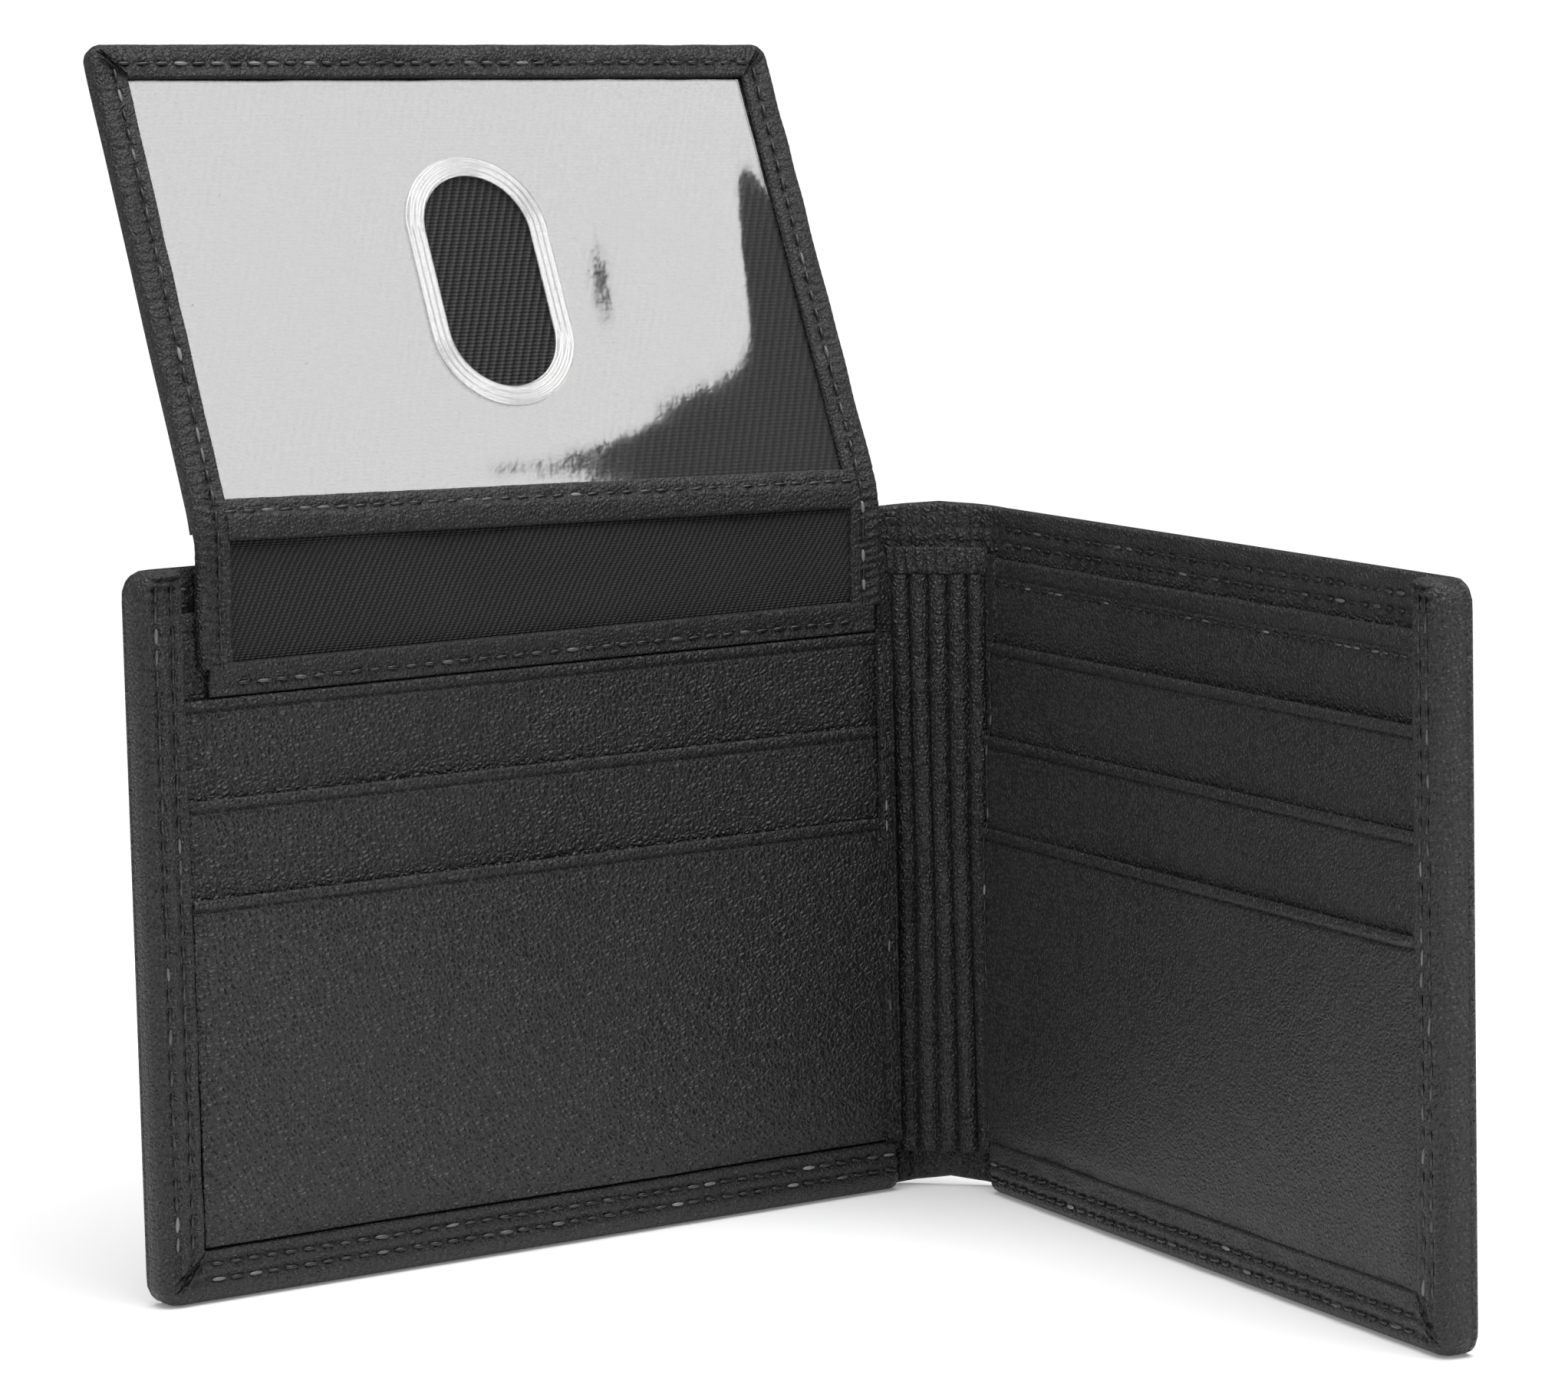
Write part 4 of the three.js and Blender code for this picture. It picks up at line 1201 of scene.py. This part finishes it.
def make_wing_frame():
    """Leather turned over the wing's sides and top, gathered in pleats at its two corners."""
    step, radius = 0.3, WING_CORNER
    up = np.arange(WING_START, WING_TOP - radius, step)
    turn = np.linspace(0, math.pi / 2, 26)[1:-1]
    over = np.arange(-WING_HALF + radius, WING_HALF - radius, step)
    corner_x, corner_z = WING_HALF - radius + radius * np.cos(turn), WING_TOP - radius
    outline = np.concatenate([
        np.stack([np.full_like(up, -WING_HALF), up], -1),
        np.stack([-corner_x, corner_z + radius * np.sin(turn)], -1),
        np.stack([over, np.full_like(over, WING_TOP)], -1),
        np.stack([corner_x[::-1], corner_z + radius * np.sin(turn)[::-1]], -1),
        np.stack([np.full_like(up, WING_HALF), up[::-1]], -1)])
    reach_x, reach_z = WING_HALF - WING_BORDER, WING_TOP - WING_BORDER
    lip = np.stack([np.clip(outline[:, 0], -reach_x, reach_x),
                    np.minimum(outline[:, 1], reach_z)], -1)
    run = WING_START + np.concatenate(
        [[0], np.cumsum(np.linalg.norm(np.diff(outline, axis=0), axis=1))])
    reach = np.linalg.norm(lip - outline, axis=1)
    share = lines(0, 1, 0.05, 0.12)
    depth = share[None] * reach[:, None]
    level = depth / reach[:, None] * WING_BORDER
    front = binding_height(np.broadcast_to(level, depth.shape), run[:, None], 4)
    to_corner = np.minimum(np.hypot(WING_HALF - outline[:, 0], WING_TOP - outline[:, 1]),
                           np.hypot(WING_HALF + outline[:, 0], WING_TOP - outline[:, 1]))
    angle = np.arctan2(WING_TOP - outline[:, 1], WING_HALF - np.abs(outline[:, 0]))
    pleats = 0.26 * np.sin(angle * 11) * np.exp(-(to_corner / 3.6) ** 2)
    front = front + pleats[:, None] * ease(depth, 0.4, 1.8)
    at = outline[:, None] + (lip - outline)[:, None] * share[None, :, None]
    top_face = np.stack([at[..., 0], front, at[..., 1]], -1)
    inward = (lip - outline) / reach[:, None]
    under = [(1.3, 0.5), (1.3, -0.5), (0.45, -1.18), (0.12, -0.95), (0.0, -0.6)]
    hidden = [row_beside(lip, inward, 0, 0.5)]
    hidden += [row_beside(outline, inward, inset, level) for inset, level in under]
    sections = np.concatenate([top_face, np.stack(hidden, 1)], 1)
    piece = loft("wing_frame_leather", STRAP, sections, fold_leather)
    finish_piece(piece, "id_wing", "grain_leather", "wing_inner_edge", "wing_outer_edge",
                 "wing_top_edge")
    sew_wing()


def sew_wing():
    """The wing's frame seam: up one side, across the top and down, and on along the strap."""
    inset = WING_BORDER * WING_SEAM
    x, top = WING_HALF - inset, WING_TOP - inset
    level = 1.27
    up = np.arange(WING_START + 0.3, top - 1.2, 0.5)
    over = np.arange(-x + 1.4, x - 1.2, 0.5)
    runs = [(STRAP, np.stack([over, np.full_like(over, level), np.full_like(over, top)], -1))]
    runs += [(STRAP, np.stack([np.full_like(up, sign * x), np.full_like(up, level), up], -1))
             for sign in (-1, 1)]
    finish_piece(sew("wing_stitches", runs, 75), "id_wing", "thread", "wing_stitching")
    for part, facts in STRAP_PARTS.items():
        start, end = facts["along"]
        along = np.arange(start + 0.6, end + 0.01, 0.3)
        level = 0.87 + 0.4 * ease(along, 4, 12)
        runs = [(STRAP, np.stack([np.full_like(along, sign * x), level, along], -1))
                for sign in (-1, 1)]
        hold_strap_part(sew(f"binding_stitches_{part}", runs, 76), part, "thread")


def stadium(reach_x, reach_z):
    """A slot's outline with round ends, as points (x, z) evenly spaced in angle."""
    turn = np.linspace(0, TAU, 160, endpoint=False)
    straight = reach_z - reach_x
    x, z = reach_x * np.cos(turn), reach_x * np.sin(turn)
    return np.stack([x, z + straight * np.sign(np.sin(turn)) * (np.abs(np.sin(turn)) > 1e-6)], -1)


def slot_reach(way, reach_x, reach_z):
    """How far a round-ended slot's edge is from its middle, in each direction."""
    straight = reach_z - reach_x
    side = reach_x / np.maximum(np.abs(way[:, 0]), 1e-9)
    inner = np.maximum(reach_x**2 - (straight * way[:, 0]) ** 2, 0)
    arc = straight * np.abs(way[:, 1]) + np.sqrt(inner)
    return np.where(side * np.abs(way[:, 1]) <= straight, side, arc)


def window_facts():
    """The thumb hole's middle, across and along the strap, and half its welded rim's size."""
    low, high = WING.span("thumb_hole_rim")
    middle = np.array([(low[0] + high[0]) / 2 + 0.4, NECK + (low[2] + high[2]) / 2])
    outer = np.array([(high[0] - low[0]) / 2 + 0.5, (high[2] - low[2]) / 2 + 0.3])
    return middle, outer


def window_sag(x, along):
    """The film is held flat at its edges and at the weld, and waves a little between them."""
    middle, outer = window_facts()
    around = np.hypot(x - middle[0], (along - middle[1]) * 0.62) - outer[0]
    free = ease(around, 0, 9) * ease(WING_HALF - WING_BORDER - np.abs(x), 0, 9)
    free = free * ease(along - 12, 0, 8) * ease(WING_TOP - WING_BORDER - along, 0, 9)
    return 0.13 * free * ripples(x, along, 61, 30) + 0.05 * ripples(x, along, 62, 60)


def make_window():
    """Clear film with a welded thumb hole, in a grid that runs from the hole to the frame."""
    middle, outer = window_facts()
    low_z, high_z = 11.4, WING_TOP - 2.0
    half = WING_HALF - 1.9
    corners = [math.atan2(z - middle[1], x) for x in (-half, half) for z in (low_z, high_z)]
    turn = np.sort(np.concatenate([np.linspace(-math.pi, math.pi, 220)[:-1] + 1e-4, corners]))
    way = np.stack([np.cos(turn), np.sin(turn)], -1)
    hole = way * slot_reach(way, outer[0] - RIM + 0.1, outer[1] - RIM + 0.1)[:, None] + middle
    room_x = half / np.maximum(np.abs(way[:, 0]), 1e-9)
    room_z = np.where(way[:, 1] > 0, high_z - middle[1], middle[1] - low_z)
    frame_at = middle + way * np.minimum(
        room_x, room_z / np.maximum(np.abs(way[:, 1]), 1e-9))[:, None]
    share = np.linspace(0, 1, 44)[None, :, None]
    rays = hole[:, None] * (1 - share) + frame_at[:, None] * share
    sag = window_sag(rays[..., 0], rays[..., 1])
    front, back = (np.stack([rays[..., 0], level + sag, rays[..., 1]], -1)
                   for level in FILM[::-1])
    piece = loft("clear_window", STRAP, np.concatenate([front, back[:, ::-1]], 1), clear_vinyl,
                 ring=True)
    finish_piece(piece, "id_wing", "clear_vinyl", "id_window")

    ring = np.linspace(0, 1, 31)
    ridges = 0.26 + 0.55 * np.sin(1.5 * TAU * ring) ** 2
    sections = []
    for inset, height in zip(RIM * (1 - ring), ridges):
        edge = stadium(outer[0] - inset, outer[1] - inset) + middle
        sections.append(np.stack([edge[:, 0], np.full(len(edge), 0.3 + height), edge[:, 1]], -1))
    for inset in (0.0, RIM):
        edge = stadium(outer[0] - inset, outer[1] - inset) + middle
        sections.append(np.stack([edge[:, 0], np.full(len(edge), 0.46), edge[:, 1]], -1))
    rim = loft("welded_rim", STRAP, np.stack(sections, 1), welded_vinyl, ring=True)
    finish_piece(rim, "id_wing", "clear_vinyl", "thumb_hole_rim")


def make_wing_back():
    """The wing's plain back."""
    piece = slab("wing_back_leather", STRAP, (-WING_HALF + 0.15, WING_HALF - 0.15),
                 (-1.3, -0.55), (wing_low[2] + NECK, WING_TOP - 0.15), grain_leather, step=1.2,
                 radius=0.36, corners=(0, 0, WING_CORNER, WING_CORNER),
                 shape=lambda x, z: 0.12 * ripples(x, z, 63, 40) * ease(z, 12, 20)
                 * ease(WING_TOP - z, 0, 6))
    finish_piece(piece, "id_wing", "grain_leather", "wing_back")


make_bindings()
make_twill()
make_anchor_strip()
make_trim()
make_wing_frame()
make_window()
make_wing_back()


# ---- floor, light and camera ----
def make_floor():
    """Matt white paper that fades out into the room."""
    made, tree = new_material("white_paper_sweep")
    place = add(tree, "ShaderNodeTexCoord").outputs["Object"]
    mottle = add(tree, "ShaderNodeTexNoise", Vector=place, Scale=6.0, Detail=2.0)
    colour = add(tree, "ShaderNodeMix", COLOURS, i0=mottle.outputs["Fac"], i6=srgb("f7f7f7"),
                 i7=srgb("fbfbfb")).outputs[2]
    shader = add(tree, "ShaderNodeBsdfPrincipled", Base_Color=colour, Roughness=0.85,
                 Emission_Color=srgb("ffffff"), Emission_Strength=0.14)
    distance = add(tree, "ShaderNodeVectorMath", {"operation": "LENGTH"}, i0=place)
    faded = add(tree, "ShaderNodeMapRange", SMOOTH, Value=distance.outputs["Value"],
                From_Min=0.25, From_Max=0.75).outputs["Result"]
    nothing = add(tree, "ShaderNodeBsdfTransparent")
    whole = add(tree, "ShaderNodeMixShader", i0=faded, i1=shader.outputs[0],
                i2=nothing.outputs[0])
    add(tree, "ShaderNodeOutputMaterial", Surface=whole.outputs[0])
    mesh = bpy.data.meshes.new("floor")
    reach = 3.0
    mesh.from_pydata([(-reach, -reach, 0), (reach, -reach, 0), (reach, reach, 0),
                      (-reach, reach, 0)], [], [(0, 1, 2, 3)])
    mesh.materials.append(made)
    floor = bpy.data.objects.new("floor", mesh)
    bpy.context.scene.collection.objects.link(floor)


def softbox(name, position, target, size, watts, beside=(0, 0, 1)):
    """A square area light facing a target, in metres, with two sides along beside."""
    data = bpy.data.lights.new(name, "AREA")
    data.size = size
    data.energy = watts
    lamp = bpy.data.objects.new(name, data)
    back = (Vector(position) - Vector(target)).normalized()
    across = (Vector(beside) - back * back.dot(Vector(beside))).normalized()
    lamp.matrix_world = Matrix.Translation(position) @ Matrix(
        (across, back.cross(across), back)).transposed().to_4x4()
    bpy.context.scene.collection.objects.link(lamp)


CAMERA_AZIMUTH, CAMERA_ELEVATION, CAMERA_ROLL = 14.84, 7.25, -1.286      # degrees
CAMERA_DISTANCE = 759
CAMERA_AIM = (-20.35, 64.76)         # beside the spine's middle, and above its foot
CAMERA_LENS = 135                    # a long portrait lens, for a full-frame sensor
CAMERA_SENSOR = 36


def make_camera():
    """A long lens a little above the wallet, looking into its V from the right."""
    turn, rise = math.radians(CAMERA_AZIMUTH), math.radians(CAMERA_ELEVATION)
    roll = math.radians(CAMERA_ROLL)
    level = Vector((math.cos(turn), math.sin(turn), 0))
    back = Vector((math.sin(turn) * math.cos(rise), -math.cos(turn) * math.cos(rise),
                   math.sin(rise)))
    upward = back.cross(level)
    across = level * math.cos(roll) + upward * math.sin(roll)
    up = upward * math.cos(roll) - level * math.sin(roll)
    aim = Vector(SPINE.origin) + level * CAMERA_AIM[0] * MM + Vector((0, 0, CAMERA_AIM[1] * MM))
    data = bpy.data.cameras.new("camera")
    data.lens, data.sensor_width = CAMERA_LENS, CAMERA_SENSOR
    camera = bpy.data.objects.new("camera", data)
    camera.matrix_world = Matrix.Translation(aim + back * CAMERA_DISTANCE * MM) @ Matrix(
        (across, up, back)).transposed().to_4x4()
    bpy.context.scene.collection.objects.link(camera)
    bpy.context.scene.camera = camera
    return camera


def light_the_window(camera):
    """A softbox stands where the window's film mirrors it into the camera.

    Its image ends over the window's lower inner corner, where the twill behind shows dark.
    """
    middle = Vector(STRAP.put([0, FILM[1], 40]))
    out = Vector(wing_out)
    to_camera = (camera.matrix_world.translation - middle).normalized()
    mirror = 2 * to_camera.dot(out) * out - to_camera
    away = Vector(wing_across) * 0.77 + Vector(wing_up) * 0.64
    distance, shift = 0.62, 0.113
    softbox("window_softbox", middle + mirror * distance + away * shift, middle, size=0.32,
            watts=1.3, beside=away)


def make_world():
    """A dim white room for the light, which looks bright white where the camera sees it."""
    room, backdrop = 0.19, 0.85
    world = bpy.data.worlds.new("studio")
    world.use_nodes = True
    tree = world.node_tree
    tree.nodes.clear()
    seen = add(tree, "ShaderNodeLightPath").outputs["Is Camera Ray"]
    strength = add(tree, "ShaderNodeMath", TIMES_PLUS, i0=seen, i1=backdrop, i2=room).outputs[0]
    shader = add(tree, "ShaderNodeBackground", Color=srgb("ffffff"), Strength=strength)
    add(tree, "ShaderNodeOutputWorld", Surface=shader.outputs[0])
    bpy.context.scene.world = world


make_floor()
camera = make_camera()
light_the_window(camera)
softbox("overhead", (0.05, -0.1, 0.95), (0, 0, 0), size=1.1, watts=12.5)
softbox("front_left", (-0.55, -0.8, 0.55), (0, 0, 0.06), size=0.6, watts=1.6)
softbox("front_right", (0.75, -0.65, 0.4), (0.02, 0, 0.05), size=0.5, watts=1.25)
make_world()
bpy.context.scene.view_settings.view_transform = "Standard"
